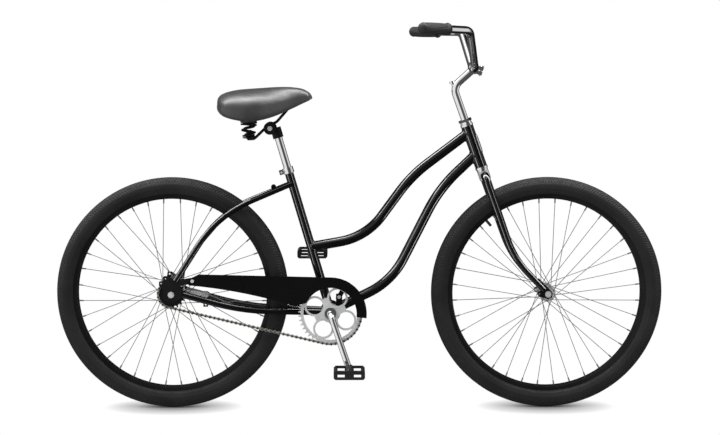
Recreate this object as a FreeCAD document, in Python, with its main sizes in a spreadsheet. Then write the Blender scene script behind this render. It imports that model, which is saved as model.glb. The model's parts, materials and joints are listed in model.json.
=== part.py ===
import FreeCAD
import Part
import Sketcher
import math
import os
from types import SimpleNamespace
from FreeCAD import Placement, Rotation, Vector

# Beach cruiser bicycle with a step-through frame, one gear and a coaster brake.
# Millimetres. +X is forward, +Y is the rider's left, +Z is up.
# The origin is on the ground, midway between the two axles.

SIZES = {
    # wheels
    "wheelbase": 1077.0,
    "tyre_radius": 333.0,
    "tyre_section": 54.0,
    "tyre_wall": 3.0,
    "bead_seat_radius": 279.5,
    "rim_flange_height": 5.2,
    "rim_inner_width": 28.0,
    "rim_wall": 2.2,
    "rim_depth": 13.7,
    "spoke_count": 36,
    "spoke_crossings": 3,
    "spoke_gauge": 2.0,
    "nipple_gauge": 4.2,
    "nipple_length": 12.0,
    "valve_diameter": 8.0,
    "valve_length": 34.0,
    # hubs and axles
    "flange_thickness": 3.0,
    "front_hub_width": 100.0,
    "front_axle_diameter": 9.0,
    "front_flange_spacing": 68.0,
    "front_flange_hole_radius": 19.5,
    "front_barrel_radius": 13.0,
    "front_bore_radius": 9.0,
    "rear_hub_width": 110.0,
    "rear_axle_diameter": 10.0,
    "rear_flange_spacing": 60.0,
    "rear_flange_hole_radius": 29.5,
    "rear_barrel_radius": 25.0,
    "rear_bore_radius": 21.5,
    "axle_nut_height": 9.0,
    "axle_nut_width": 15.0,
    "axle_overhang": 4.0,
    "ball_play": 0.3,
    # drive
    "chain_pitch": 12.7,
    "chain_links": 104,
    "chainring_teeth": 44,
    "sprocket_teeth": 19,
    "chain_line": 44.0,
    "sprocket_thickness": 2.8,
    "roller_diameter": 7.75,
    "chain_plate_height": 8.4,
    "chain_plate_thickness": 1.0,
    "chain_inner_width": 3.3,
    "chain_pin_diameter": 3.6,
    "chain_play": 0.2,
    "bottom_bracket_drop": 55.0,
    "bottom_bracket_width": 68.0,
    "bottom_bracket_outer": 57.0,
    "bottom_bracket_wall": 2.8,
    "crank_length": 165.0,
    "crank_angle": -71.0,
    "crank_rod_diameter": 18.0,
    "crank_spindle_diameter": 22.0,
    "crank_right_reach": 68.0,
    "crank_left_reach": 62.0,
    "crank_flare": 10.0,
    "crank_bend": 22.0,
    "crank_eye_diameter": 26.0,
    "crank_eye_thickness": 19.0,
    "chainring_hole_diameter": 47.0,
    "chainring_hole_circle": 49.0,
    "pedal_thread_diameter": 12.7,
    "pedal_length": 88.0,
    "pedal_width": 96.0,
    "pedal_thickness": 25.0,
    "pedal_shaft_diameter": 9.0,
    "pedal_barrel_diameter": 20.0,
    "guard_gauge": 1.2,
    "guard_inner_radius": 75.0,
    "guard_outer_radius": 104.0,
    "guard_flange_width": 11.0,
    # frame
    "head_angle": 70.5,
    "head_length": 124.5,
    "head_tube_outer": 35.0,
    "head_tube_wall": 2.0,
    "fork_length": 404.8,
    "fork_offset": 58.0,
    "seat_angle": 73.5,
    "seat_tube_length": 433.0,
    "seat_tube_outer": 25.4,
    "seatpost_diameter": 22.2,
    "main_tube_outer": 28.6,
    "tube_wall": 1.4,
    "seat_stay_outer": 16.0,
    "chain_stay_outer": 19.0,
    "dropout_thickness": 4.0,
    "eyelet_diameter": 5.0,
    "sliding_play": 0.3,
    # steering
    "steerer_outer": 25.4,
    "steerer_wall": 1.5,
    "blade_top_outer": 25.0,
    "blade_tip_outer": 17.0,
    "blade_spacing": 88.0,
    "stem_height": 647.0,
    "stem_reach": 72.0,
    "stem_rise": 30.0,
    "stem_insertion": 75.0,
    "bar_diameter": 22.2,
    "bar_clamp_diameter": 25.4,
    "bar_clamp_width": 40.0,
    "bar_sweep": 140.0,
    "bar_half_width": 345.0,
    "bar_shoulder": 185.0,
    "bar_rise": 106.0,
    "grip_diameter": 31.0,
    "grip_length": 118.0,
    # seat
    "seatpost_bottom": 300.0,
    "seatpost_top": 552.0,
    "saddle_rail_diameter": 8.0,
    "saddle_rail_spacing": 44.0,
    "spring_spacing": 104.0,
    "spring_wire": 5.0,
    "spring_mean_diameter": 38.0,
    "spring_turns": 3,
    "spring_height": 40.0,
}

doc = FreeCAD.newDocument("beach_cruiser")
sheet = doc.addObject("Spreadsheet::Sheet", "Sizes")
for line, (alias, amount) in enumerate(SIZES.items(), start=1):
    sheet.set(f"A{line}", alias)
    sheet.set(f"B{line}", str(amount))
    sheet.setAlias(f"B{line}", alias)
doc.recompute()


class Length:
    """A number together with the sheet expression that gives it."""

    def __init__(self, number, text):
        self.number = float(number)
        self.text = text

    def __float__(self):
        return self.number

    def joined(self, other, sign, number):
        text = other.text if isinstance(other, Length) else f"{float(other):.6f}"
        return Length(number, f"({self.text} {sign} {text})")

    def __add__(self, other):
        return self.joined(other, "+", self.number + float(other))

    def __sub__(self, other):
        return self.joined(other, "-", self.number - float(other))

    def __mul__(self, other):
        return self.joined(other, "*", self.number * float(other))

    def __truediv__(self, other):
        return self.joined(other, "/", self.number / float(other))

    def __neg__(self):
        return self * -1


size = SimpleNamespace(**{alias: Length(sheet.get(alias), f"Sizes.{alias}") for alias in SIZES})
mm = SimpleNamespace(**{alias: float(sheet.get(alias)) for alias in SIZES})


def fixed(number):
    """A length that no driving size changes."""
    return Length(number, f"{float(number):.6f}")


PRESS_PLAY = 0.05
PLAY_AT_END = 0.5
ORIGIN = Vector(0, 0, 0)
UP = Vector(0, 0, 1)
LEFT = Vector(0, 1, 0)
RIGHT = Vector(0, -1, 0)
SIDES = (("right", -1), ("left", 1))
parts = {}


# Small builders: each makes one document object whose sizes follow the sheet.

def place(item, base, direction=UP, turn=0.0):
    """Stands an item's own Z along a direction at a base point, after a turn about that axis."""
    item.Placement = Placement(base, Rotation(UP, direction)) * Placement(ORIGIN, Rotation(UP, turn))
    return item


def bind(item, **lengths):
    """Ties properties of an item to sheet expressions."""
    for name, length in lengths.items():
        item.setExpression(name, length.text)
    return item


def cylinder(name, radius, height, base, direction=UP):
    item = bind(doc.addObject("Part::Cylinder", name), Radius=radius, Height=height)
    return place(item, base, direction)


def hexagon(name, across_flats, height, base, direction=UP):
    item = bind(doc.addObject("Part::Prism", name), Circumradius=across_flats / math.sqrt(3), Height=height)
    item.Polygon = 6
    return place(item, base, direction)


def block(name, length, width, height, centre, rotation=None):
    """A box centred on a point, turned about that point."""
    item = bind(doc.addObject("Part::Box", name), Length=length, Width=width, Height=height)
    half = Vector(-float(length) / 2, -float(width) / 2, -float(height) / 2)
    item.Placement = Placement(centre, rotation or Rotation()) * Placement(half, Rotation())
    return item


def cut(name, base, *tools):
    """Takes the tools away from the base, one after another."""
    for number, tool in enumerate(tools):
        item = doc.addObject("Part::Cut", name if number == len(tools) - 1 else f"{name}_cut{number}")
        item.Base = base
        item.Tool = tool
        base = item
    return base


def fuse(name, *items):
    item = doc.addObject("Part::MultiFuse", name)
    item.Shapes = list(items)
    return item


def group(name, *items):
    """Keeps separate solids together in one node."""
    item = doc.addObject("Part::Compound", name)
    item.Links = list(items)
    return item


def ring(name, outer, inner, height, base, direction=UP):
    """A plain ring: a cylinder bored through."""
    return cut(name, cylinder(f"{name}_blank", outer, height, base, direction),
               cylinder(f"{name}_bore", inner, height, base, direction))


def feature(name, shape):
    item = doc.addObject("Part::Feature", name)
    item.Shape = shape
    return item


def keep(label, item):
    """Names a finished sub-part, which is written under that label."""
    item.Label = label
    parts[label] = item
    return item


def origin_plane(body, role):
    return next(item for item in body.Origin.OriginFeatures if item.Role == role)


def new_sketch(body, name, role):
    sketch = body.newObject("Sketcher::SketchObject", name)
    sketch.AttachmentSupport = (origin_plane(body, role), "")
    sketch.MapMode = "FlatFace"
    return sketch


def bound_outline(sketch, corners):
    """Draws a closed outline whose corners are pairs of lengths, each tied to the sheet."""
    points = [Vector(float(across), float(along), 0) for across, along in corners]
    count = len(points)
    for number, point in enumerate(points):
        sketch.addGeometry(Part.LineSegment(point, points[(number + 1) % count]))
    for number, corner in enumerate(corners):
        sketch.addConstraint(Sketcher.Constraint("Coincident", number, 2, (number + 1) % count, 1))
        for kind, length in zip(("DistanceX", "DistanceY"), corner):
            rule = Sketcher.Constraint(kind, -1, 1, number, 1, float(length))
            index = sketch.addConstraint(rule)
            sketch.setExpression(f"Constraints[{index}]", length.text)


def turned(name, corners, base, direction=UP):
    """A body of revolution: corners are (radius, distance along the axis)."""
    body = doc.addObject("PartDesign::Body", name)
    sketch = new_sketch(body, f"{name}_outline", "XZ_Plane")
    bound_outline(sketch, corners)
    return spun(body, name, sketch, base, direction)


def spun(body, name, sketch, base, direction):
    """Turns a body's sketch once around its upright axis and puts the body in its place."""
    spin = body.newObject("PartDesign::Revolution", f"{name}_turn")
    spin.Profile = sketch
    spin.ReferenceAxis = (sketch, ["V_Axis"])
    spin.Angle = 360
    return place(body, base, direction)


def outline_edges(steps):
    """Lines and arcs through points: a step is (x, z), or (x, z, via_x, via_z) for an arc to it."""
    edges = []
    start = Vector(steps[-1][0], steps[-1][1], 0)
    for step in steps:
        end = Vector(step[0], step[1], 0)
        if len(step) == 2:
            edges.append(Part.LineSegment(start, end))
        else:
            edges.append(Part.Arc(start, Vector(step[2], step[3], 0), end))
        start = end
    return edges


def turned_curve(name, steps, base, direction=UP):
    """A body of revolution with arcs in its outline: steps are (radius, distance along the axis)."""
    body = doc.addObject("PartDesign::Body", name)
    sketch = new_sketch(body, f"{name}_outline", "XZ_Plane")
    sketch.addGeometry(outline_edges(steps))
    return spun(body, name, sketch, base, direction)


def plate(name, steps, thickness, near_face, holes=()):
    """A flat plate in the XZ plane: the outline is padded from its right face towards +Y."""
    body = doc.addObject("PartDesign::Body", name)
    sketch = new_sketch(body, f"{name}_outline", "XZ_Plane")
    sketch.addGeometry(outline_edges(steps))
    for across, along, radius in holes:
        sketch.addGeometry(Part.Circle(Vector(across, along, 0), Vector(0, 0, 1), radius))
    pad = body.newObject("PartDesign::Pad", f"{name}_pad")
    pad.Profile = sketch
    pad.Reversed = True
    bind(pad, Length=thickness)
    body.Placement = Placement(Vector(0, near_face, 0), Rotation())
    return body


RUN_SHARE = 0.48


def rounded_path(points, bends):
    """A wire of straight runs joined by tangent arcs, each limited by its two runs."""
    edges = []
    start = points[0]
    for before, corner, after, bend in zip(points, points[1:], points[2:], bends):
        inward = (before - corner).normalize()
        onward = (after - corner).normalize()
        half_turn = (math.pi - inward.getAngle(onward)) / 2
        shorter = min(before.distanceToPoint(corner), corner.distanceToPoint(after))
        reach = min(bend * math.tan(half_turn), RUN_SHARE * shorter)
        radius = reach / math.tan(half_turn)
        middle = (inward + onward).normalize()
        centre = corner + middle * math.hypot(radius, reach)
        first = corner + inward * reach
        last = corner + onward * reach
        edges.append(Part.LineSegment(start, first).toShape())
        edges.append(Part.Arc(first, centre - middle * radius, last).toShape())
        start = last
    edges.append(Part.LineSegment(start, points[-1]).toShape())
    return Part.Wire(edges)


def sweep(name, path, start_radius, end_radius=None):
    """A round bar along a path, tapered when an end radius is given."""
    wire = path.Shape
    sections = []
    for tag, radius, edge, at_end in (("start", start_radius, wire.OrderedEdges[0], False),
                                      ("end", end_radius, wire.OrderedEdges[-1], True)):
        if radius is not None:
            circle = bind(doc.addObject("Part::Circle", f"{name}_{tag}"), Radius=radius)
            parameter = edge.LastParameter if at_end else edge.FirstParameter
            sections.append(place(circle, edge.valueAt(parameter), edge.tangentAt(parameter)))
    item = doc.addObject("Part::Sweep", name)
    item.Sections = sections
    item.Spine = (path, [f"Edge{number + 1}" for number in range(len(wire.Edges))])
    item.Solid = True
    item.Frenet = False
    return item


def bar(name, points, bends, outer, tip=None):
    """A solid bent bar through points."""
    path = feature(f"{name}_path", rounded_path(points, bends))
    return sweep(name, path, outer / 2, tip / 2 if tip else None)


def tube(name, points, bends, outer, wall, tip=None):
    """A bent tube through points, as an outer and an inner bar."""
    skin = bar(f"{name}_skin", points, bends, outer, tip)
    core = bar(f"{name}_core", points, bends, outer - wall * 2, tip - wall * 2 if tip else None)
    return skin, core


# Main points of the bicycle, worked out from the driving sizes.

REAR_AXLE = Vector(-mm.wheelbase / 2, 0, mm.tyre_radius)
FRONT_AXLE = Vector(mm.wheelbase / 2, 0, mm.tyre_radius)


def pitch_radius(teeth):
    return mm.chain_pitch / (2 * math.sin(math.pi / teeth))


RING_RADIUS = pitch_radius(mm.chainring_teeth)
COG_RADIUS = pitch_radius(mm.sprocket_teeth)


def chain_pitches(centre):
    """How many pitches of chain go round the two sprockets at a centre distance."""
    step = RING_RADIUS - COG_RADIUS
    lean = math.asin(step / centre)
    wraps = mm.chainring_teeth * (math.pi + 2 * lean) + mm.sprocket_teeth * (math.pi - 2 * lean)
    return wraps / (2 * math.pi) + 2 * math.sqrt(centre ** 2 - step ** 2) / mm.chain_pitch


def axle_distance():
    """The centre distance at which the chain's links just close."""
    low = RING_RADIUS + COG_RADIUS
    high = mm.chain_links * mm.chain_pitch / 2
    for _ in range(60):
        middle = (low + high) / 2
        if chain_pitches(middle) < mm.chain_links:
            low = middle
        else:
            high = middle
    return low


CENTRE_DISTANCE = axle_distance()
BRACKET = REAR_AXLE + Vector(math.sqrt(CENTRE_DISTANCE ** 2 - mm.bottom_bracket_drop ** 2), 0,
                             -mm.bottom_bracket_drop)
head_lean = math.radians(90 - mm.head_angle)
STEER = Vector(-math.sin(head_lean), 0, math.cos(head_lean))
AHEAD = Vector(math.cos(head_lean), 0, math.sin(head_lean))
STEER_FOOT = FRONT_AXLE - AHEAD * mm.fork_offset
HEAD_BOTTOM = STEER_FOOT + STEER * mm.fork_length
HEAD_TOP = HEAD_BOTTOM + STEER * mm.head_length
seat_lean = math.radians(90 - mm.seat_angle)
SEAT = Vector(-math.sin(seat_lean), 0, math.cos(seat_lean))
SEAT_TOP = BRACKET + SEAT * mm.seat_tube_length


def from_bracket(ahead, above, across=0.0):
    return BRACKET + Vector(ahead, across, above)


def from_rear(ahead, above, across=0.0):
    return REAR_AXLE + Vector(ahead, across, above)


def on_steering(along, ahead=0.0, across=0.0):
    """A point at a distance up the steering axis from the foot of the fork's offset."""
    return STEER_FOOT + STEER * along + AHEAD * ahead + LEFT * across


# Frame tubes. Each blank runs to its neighbour's axis and is coped by the neighbour's outside.

TOP_TUBE_START = 195.0
TOP_TUBE_LOW_BEND = Vector(103, 0, 215)
TOP_TUBE_HIGH_BEND = Vector(-159, 0, -143)
TOP_TUBE_END = 19.5
TOP_TUBE_BENDS = (190, 410)
DOWN_TUBE_START = 40.5
DOWN_TUBE_HIGH_BEND = Vector(-120, 0, -63)
DOWN_TUBE_LOW_BEND = Vector(177, 0, 87.5)
DOWN_TUBE_BENDS = (436, 220)


def frame_tubes():
    head_blank = cylinder("head_blank", size.head_tube_outer / 2, size.head_length, HEAD_BOTTOM, STEER)
    head_bore = cylinder("head_bore", size.head_tube_outer / 2 - size.head_tube_wall, size.head_length,
                         HEAD_BOTTOM, STEER)
    keep("head_tube", cut("head_tube_cut", head_blank, head_bore))

    half_shell = mm.bottom_bracket_width / 2
    shell_end = BRACKET + RIGHT * half_shell
    shell_blank = cylinder("shell_blank", size.bottom_bracket_outer / 2, size.bottom_bracket_width,
                           shell_end, LEFT)
    shell_bore = cylinder("shell_bore", size.bottom_bracket_outer / 2 - size.bottom_bracket_wall,
                          size.bottom_bracket_width, shell_end, LEFT)
    keep("bottom_bracket_shell", cut("shell_cut", shell_blank, shell_bore))

    seat_blank = cylinder("seat_blank", size.seat_tube_outer / 2, size.seat_tube_length, BRACKET, SEAT)
    seat_bore = cylinder("seat_bore", size.seatpost_diameter / 2 + size.sliding_play, size.seat_tube_length,
                         BRACKET, SEAT)
    keep("seat_tube", cut("seat_tube_cut", seat_blank, seat_bore, shell_blank))

    # a low run from the seat tube, then a sweep up to the top of the head tube
    top_route = [BRACKET + SEAT * TOP_TUBE_START, BRACKET + TOP_TUBE_LOW_BEND, HEAD_TOP + TOP_TUBE_HIGH_BEND,
                 HEAD_TOP - STEER * TOP_TUBE_END]
    skin, core = tube("top_tube", top_route, TOP_TUBE_BENDS, size.main_tube_outer, size.tube_wall)
    keep("top_tube", cut("top_tube_cut", skin, core, head_blank, seat_blank))
    top_skin = skin

    # from the lower half of the head tube in a long S down to the bottom bracket
    down_route = [HEAD_BOTTOM + STEER * DOWN_TUBE_START, HEAD_BOTTOM + DOWN_TUBE_HIGH_BEND,
                  BRACKET + DOWN_TUBE_LOW_BEND, BRACKET]
    skin, core = tube("down_tube", down_route, DOWN_TUBE_BENDS, size.main_tube_outer, size.tube_wall)
    keep("down_tube", cut("down_tube_cut", skin, core, head_blank, shell_blank, seat_blank))
    down_skin = skin
    return SimpleNamespace(head=head_blank, shell=shell_blank, seat=seat_blank, top=top_skin, down=down_skin)


DROPOUT_FACE = mm.rear_hub_width / 2
STAY_REACH = DROPOUT_FACE + mm.dropout_thickness / 2 + 1.5
GUARD_BOLT = Vector(61, 0, 40)
REAR_EYELETS = ((-14.3, 47.0), (-27.5, 32.0))
DROPOUT_CORNERS = ((-24, -6), (-14, -19), (8, -21), (30, -10), (60, -14), (62, -2), (36, 8), (24, 26),
                   (31, 57.5),
                   (21, 64), (6, 44), (-8, 54), (-20, 54), (-22, 41), (-34, 38), (-34, 26), (-23, 14))
GUARD_TAB_PLACE = slice(7, 9)
GUARD_TAB_CORNERS = ((24, 26), (56, 31), (68, 36), (68, 45), (58, 49), (27, 44), (31, 57.5))
SEAT_STAY_START = (12.5, 40)
SEAT_STAY_KNEE = (133, 227, 52)
SEAT_STAY_TOP = 386
SEAT_STAY_TOP_HALF = 16
SEAT_STAY_BEND = 520
CHAIN_STAY_START = (34, 0.5)
CHAIN_STAY_KNEE = (-252, 9, 51)
CHAIN_STAY_END_HALF = 21.5
CHAIN_STAY_BEND = 900
BRACKET_ROOM = 8


def rear_dropout(name, side):
    """A plate round the axle that runs into both stays, with two eyelets behind."""
    corners = list(DROPOUT_CORNERS)
    if side < 0:
        # the right plate carries a forward tab for the chain guard's rear screw
        corners[GUARD_TAB_PLACE] = GUARD_TAB_CORNERS
    outline = [(REAR_AXLE.x + across, REAR_AXLE.z + above) for across, above in corners]
    holes = [(REAR_AXLE.x, REAR_AXLE.z, mm.rear_axle_diameter / 2 + mm.sliding_play)]
    for across, above in REAR_EYELETS:
        holes.append((REAR_AXLE.x + across, REAR_AXLE.z + above, mm.eyelet_diameter / 2))
    if side < 0:
        holes.append((REAR_AXLE.x + GUARD_BOLT.x, REAR_AXLE.z + GUARD_BOLT.z, mm.eyelet_diameter / 2))
    near_face = -DROPOUT_FACE - mm.dropout_thickness if side < 0 else DROPOUT_FACE
    return plate(name, outline, size.dropout_thickness, near_face, holes)


def rear_triangle(blanks):
    plates = [rear_dropout(f"{word}_rear_dropout", side) for word, side in SIDES]
    keep("rear_dropouts", group("rear_dropout_pair", *plates))
    seat_stays = []
    chain_stays = []
    skins = {}
    room_width = size.bottom_bracket_width + BRACKET_ROOM
    bracket_room = cylinder("bracket_room", size.bottom_bracket_outer / 2, room_width,
                            BRACKET + RIGHT * float(room_width) / 2, LEFT)
    for (word, side), end_plate in zip(SIDES, plates):
        ahead, above, across = SEAT_STAY_KNEE
        route = [from_rear(*SEAT_STAY_START, side * STAY_REACH), from_rear(ahead, above, side * across),
                 BRACKET + SEAT * SEAT_STAY_TOP + LEFT * side * SEAT_STAY_TOP_HALF]
        skin, core = tube(f"{word}_seat_stay", route, (SEAT_STAY_BEND,), size.seat_stay_outer, size.tube_wall)
        seat_stays.append(cut(f"{word}_seat_stay_cut", skin, core, blanks.seat, end_plate))
        skins[word, "seat"] = skin
        ahead, above, across = CHAIN_STAY_KNEE
        route = [from_rear(*CHAIN_STAY_START, side * STAY_REACH), from_bracket(ahead, above, side * across),
                 BRACKET + LEFT * side * CHAIN_STAY_END_HALF]
        skin, core = tube(f"{word}_chain_stay", route, (CHAIN_STAY_BEND,), size.chain_stay_outer,
                          size.tube_wall)
        chain_stays.append(cut(f"{word}_chain_stay_cut", skin, core, bracket_room, end_plate))
        skins[word, "chain"] = skin
    keep("seat_stays", group("seat_stay_pair", *seat_stays))
    keep("chain_stays", group("chain_stay_pair", *chain_stays))
    return skins


BRIDGE_DIAMETER = fixed(12)
UPPER_BRIDGE = Vector(-161, 0, 354)
UPPER_BRIDGE_HALF = 24
LOWER_BRIDGE = Vector(-84, 0, 3)
LOWER_BRIDGE_HALF = 33
BRIDGE_EYE = Vector(-2, 0, 6)
BRIDGE_EYE_RADIUS = 7
GUARD_TAB = Vector(25, -34, 46)
TAB_WIDTH = fixed(18)
TAB_GAUGE = 3
TAB_HEIGHT = 36
TAB_TOP = 9
DEEP_HOLE = fixed(60)


def bridges(blanks, skins):
    """Cross tubes behind the seat tube and ahead of the tyre, and the tab that holds the guard's front."""
    upper = BRACKET + UPPER_BRIDGE
    upper_rod = cylinder("upper_bridge_rod", BRIDGE_DIAMETER / 2, fixed(UPPER_BRIDGE_HALF * 2),
                         upper + RIGHT * UPPER_BRIDGE_HALF, LEFT)
    upper_eye = cylinder("upper_bridge_eye", fixed(BRIDGE_EYE_RADIUS), fixed(BRIDGE_EYE_RADIUS * 2),
                         upper + BRIDGE_EYE + RIGHT * BRIDGE_EYE_RADIUS, LEFT)
    eye_bore = cylinder("upper_bridge_bore", size.eyelet_diameter / 2, DEEP_HOLE,
                        upper + BRIDGE_EYE - UP * float(DEEP_HOLE) / 2)
    upper_bridge = cut("upper_bridge", fuse("upper_bridge_blank", upper_rod, upper_eye), eye_bore,
                       skins["right", "seat"], skins["left", "seat"])
    lower_rod = cylinder("lower_bridge_rod", BRIDGE_DIAMETER / 2, fixed(LOWER_BRIDGE_HALF * 2),
                         BRACKET + LOWER_BRIDGE + RIGHT * LOWER_BRIDGE_HALF, LEFT)
    lower_bridge = cut("lower_bridge", lower_rod, skins["right", "chain"], skins["left", "chain"])
    tab = BRACKET + GUARD_TAB
    foot = TAB_TOP - TAB_HEIGHT
    tab_plate = block("guard_tab_plate", TAB_WIDTH, fixed(TAB_GAUGE), fixed(TAB_HEIGHT),
                      tab + Vector(0, TAB_GAUGE / 2, TAB_TOP - TAB_HEIGHT / 2))
    tab_hole = cylinder("guard_tab_hole", size.eyelet_diameter / 2, DEEP_HOLE,
                        tab + RIGHT * float(DEEP_HOLE) / 4, LEFT)
    tab_web = block("guard_tab_web", TAB_WIDTH, fixed(-GUARD_TAB.y), fixed(TAB_GAUGE),
                    tab + Vector(0, -GUARD_TAB.y / 2, foot + TAB_GAUGE / 2))
    guard_tab = cut("guard_tab", fuse("guard_tab_blank", tab_plate, tab_web), tab_hole, blanks.down,
                    blanks.shell)
    keep("stay_bridges", group("stay_bridge_set", upper_bridge, lower_bridge, guard_tab))


SEAT_CLAMP_HEIGHT = 16.6
COLLAR_WALL = 3
EAR_LENGTH = 13
EAR_WIDTH = 15
EAR_STEP = 3
CLAMP_SLIT = fixed(3)
CLAMP_BOLT_RADIUS = 3.0
CLAMP_HEAD_RADIUS = 5.0
CLAMP_HEAD_HEIGHT = 4.0
CLAMP_BOLT_PLAY = 0.2


def seat_clamp():
    """A split collar on top of the seat tube, with two ears behind and a cross bolt."""
    inner = size.seat_tube_outer / 2 + PRESS_PLAY
    outer = inner + COLLAR_WALL
    height = fixed(SEAT_CLAMP_HEIGHT)
    base = SEAT_TOP - SEAT * SEAT_CLAMP_HEIGHT
    rotation = Rotation(UP, SEAT)
    behind = rotation.multVec(Vector(-1, 0, 0))
    centre = base + SEAT * (SEAT_CLAMP_HEIGHT / 2)
    ear_centre = centre + behind * (float(outer) + EAR_LENGTH / 2 - COLLAR_WALL + 0.5)
    collar = cylinder("seat_collar_blank", outer, height, base, SEAT)
    ears = block("seat_collar_ears", fixed(EAR_LENGTH), fixed(EAR_WIDTH), height - EAR_STEP, ear_centre,
                 rotation)
    bore = cylinder("seat_collar_bore", inner, height, base, SEAT)
    slit = block("seat_collar_slit", fixed(EAR_LENGTH * 2), CLAMP_SLIT, height * 2, ear_centre, rotation)
    bolt_hole = cylinder("seat_collar_bolt_hole", fixed(CLAMP_BOLT_RADIUS + CLAMP_BOLT_PLAY),
                         fixed(EAR_WIDTH * 2),
                         ear_centre + RIGHT * EAR_WIDTH, LEFT)
    keep("seat_clamp", cut("seat_collar", fuse("seat_collar_whole", collar, ears), bore, slit, bolt_hole))
    face = ear_centre + LEFT * (EAR_WIDTH / 2 + PRESS_PLAY)
    return bolt("seat_bolt", EAR_WIDTH + CLAMP_HEAD_HEIGHT * 2, face, RIGHT)


def bolt(name, length, base, direction, radius=CLAMP_BOLT_RADIUS, head_radius=CLAMP_HEAD_RADIUS,
         head_height=CLAMP_HEAD_HEIGHT):
    """A round-headed bolt: the shank starts under the head at the base and runs along the direction."""
    top = base - direction * head_height
    shank = cylinder(f"{name}_shank", fixed(radius), fixed(length + head_height), top, direction)
    head = cylinder(f"{name}_head", fixed(head_radius), fixed(head_height), top, direction)
    return fuse(name, shank, head)


# Bearings of the steering and the crank.

CUP_HEIGHT = 6.0
CUP_DEPTH = 10.0
CUP_FLOOR = 0.5
HEAD_BALL_INNER = 0.7
HEAD_BALL_OUTER = 4.3
HEAD_BALL_COUNT = 22
CRANK_BALL_INNER = 3.2
CRANK_BALL_OUTER = 10.6
CRANK_BALL_COUNT = 9
CONE_HEIGHT = 6.5
LOCK_NUT_HEIGHT = 7.5
HEADSET_GAP = 0.4


def ball_ring(count, ball_radius, circle_radius, centre, axis):
    """A ring of bearing balls."""
    turn = Rotation(UP, axis)
    spots = [Vector(circle_radius * math.cos(2 * math.pi * number / count),
                    circle_radius * math.sin(2 * math.pi * number / count), 0) for number in range(count)]
    return [Part.makeSphere(ball_radius, centre + turn.multVec(spot)) for spot in spots]


def headset():
    """Cups pressed into the head tube, with a race below and a cone and lock nut above on the steerer."""
    bore = size.head_tube_outer / 2 - size.head_tube_wall
    rim = size.head_tube_outer / 2
    throat = size.steerer_outer / 2 + 1
    race = size.steerer_outer / 2 + HEAD_BALL_OUTER
    cups = []
    for word, end, outward in (("upper", HEAD_TOP, STEER), ("lower", HEAD_BOTTOM, STEER * -1)):
        press = bore - PRESS_PLAY
        deep = fixed(-CUP_DEPTH)
        mouth = fixed(CUP_HEIGHT)
        floor = fixed(CUP_FLOOR)
        corners = [(throat, deep), (press, deep), (press, fixed(0)), (rim + 1, fixed(0)), (rim + 0.5, mouth),
                   (race, mouth), (race, floor), (throat, floor)]
        cups.append(turned(f"{word}_cup", corners, end, outward))
    keep("headset_cups", group("headset_cup_pair", *cups))
    grip = size.steerer_outer / 2 + PRESS_PLAY
    nose = size.steerer_outer / 2 + HEAD_BALL_INNER
    skirt = fixed(CUP_HEIGHT + HEADSET_GAP)
    shoulder = fixed(CUP_HEIGHT + CONE_HEIGHT)
    corners = [(grip, fixed(CUP_FLOOR)), (nose, fixed(CUP_FLOOR)), (nose, skirt), (rim - 0.5, skirt),
               (rim - 2, shoulder), (grip, shoulder)]
    top_cone = turned("top_cone", corners, HEAD_TOP, STEER)
    crown_race = turned("crown_race", corners, HEAD_BOTTOM, STEER * -1)
    nut_base = HEAD_TOP + STEER * (CUP_HEIGHT + CONE_HEIGHT)
    nut_blank = hexagon("lock_nut_blank", size.head_tube_outer - 2, fixed(LOCK_NUT_HEIGHT), nut_base, STEER)
    nut_bore = cylinder("lock_nut_bore", grip, fixed(LOCK_NUT_HEIGHT), nut_base, STEER)
    keep("headset_cones", group("headset_cone_set", top_cone, crown_race,
                                cut("lock_nut", nut_blank, nut_bore)))


CRANK_CUP_DEPTH = 12.0
CRANK_CUP_WALL = 2.2
CRANK_CUP_LIP = 1.6
CRANK_CONE_FLANGE = 8


def crank_bearings():
    bore = size.bottom_bracket_outer / 2 - size.bottom_bracket_wall
    spindle = size.crank_spindle_diameter / 2
    cups = []
    cones = []
    for word, side in SIDES:
        end = BRACKET + LEFT * side * mm.bottom_bracket_width / 2
        outward = LEFT * side
        press = bore - PRESS_PLAY
        deep = fixed(-CRANK_CUP_DEPTH)
        floor = deep + CRANK_CUP_WALL
        lip = fixed(CRANK_CUP_LIP)
        race = spindle + CRANK_BALL_OUTER
        corners = [(spindle + 4, deep), (press, deep), (press, fixed(0)), (bore + 2, fixed(0)),
                   (bore + 2, lip),
                   (race, lip), (race, floor), (spindle + 4, floor)]
        cups.append(turned(f"{word}_crank_cup", corners, end, outward))
        reach = size.chain_line - size.sprocket_thickness / 2 - size.bottom_bracket_width / 2
        grip = spindle + PRESS_PLAY
        race = spindle + CRANK_BALL_INNER
        face = reach - PRESS_PLAY
        flange = spindle + CRANK_CONE_FLANGE
        corners = [(grip, floor), (race, floor), (race, lip), (flange, lip + 1), (flange, face), (grip, face)]
        cones.append(turned(f"{word}_crank_cone", corners, end, outward))
    keep("crank_cups", group("crank_cup_pair", *cups))
    keep("crank_cones", group("crank_cone_pair", *cones))


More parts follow.
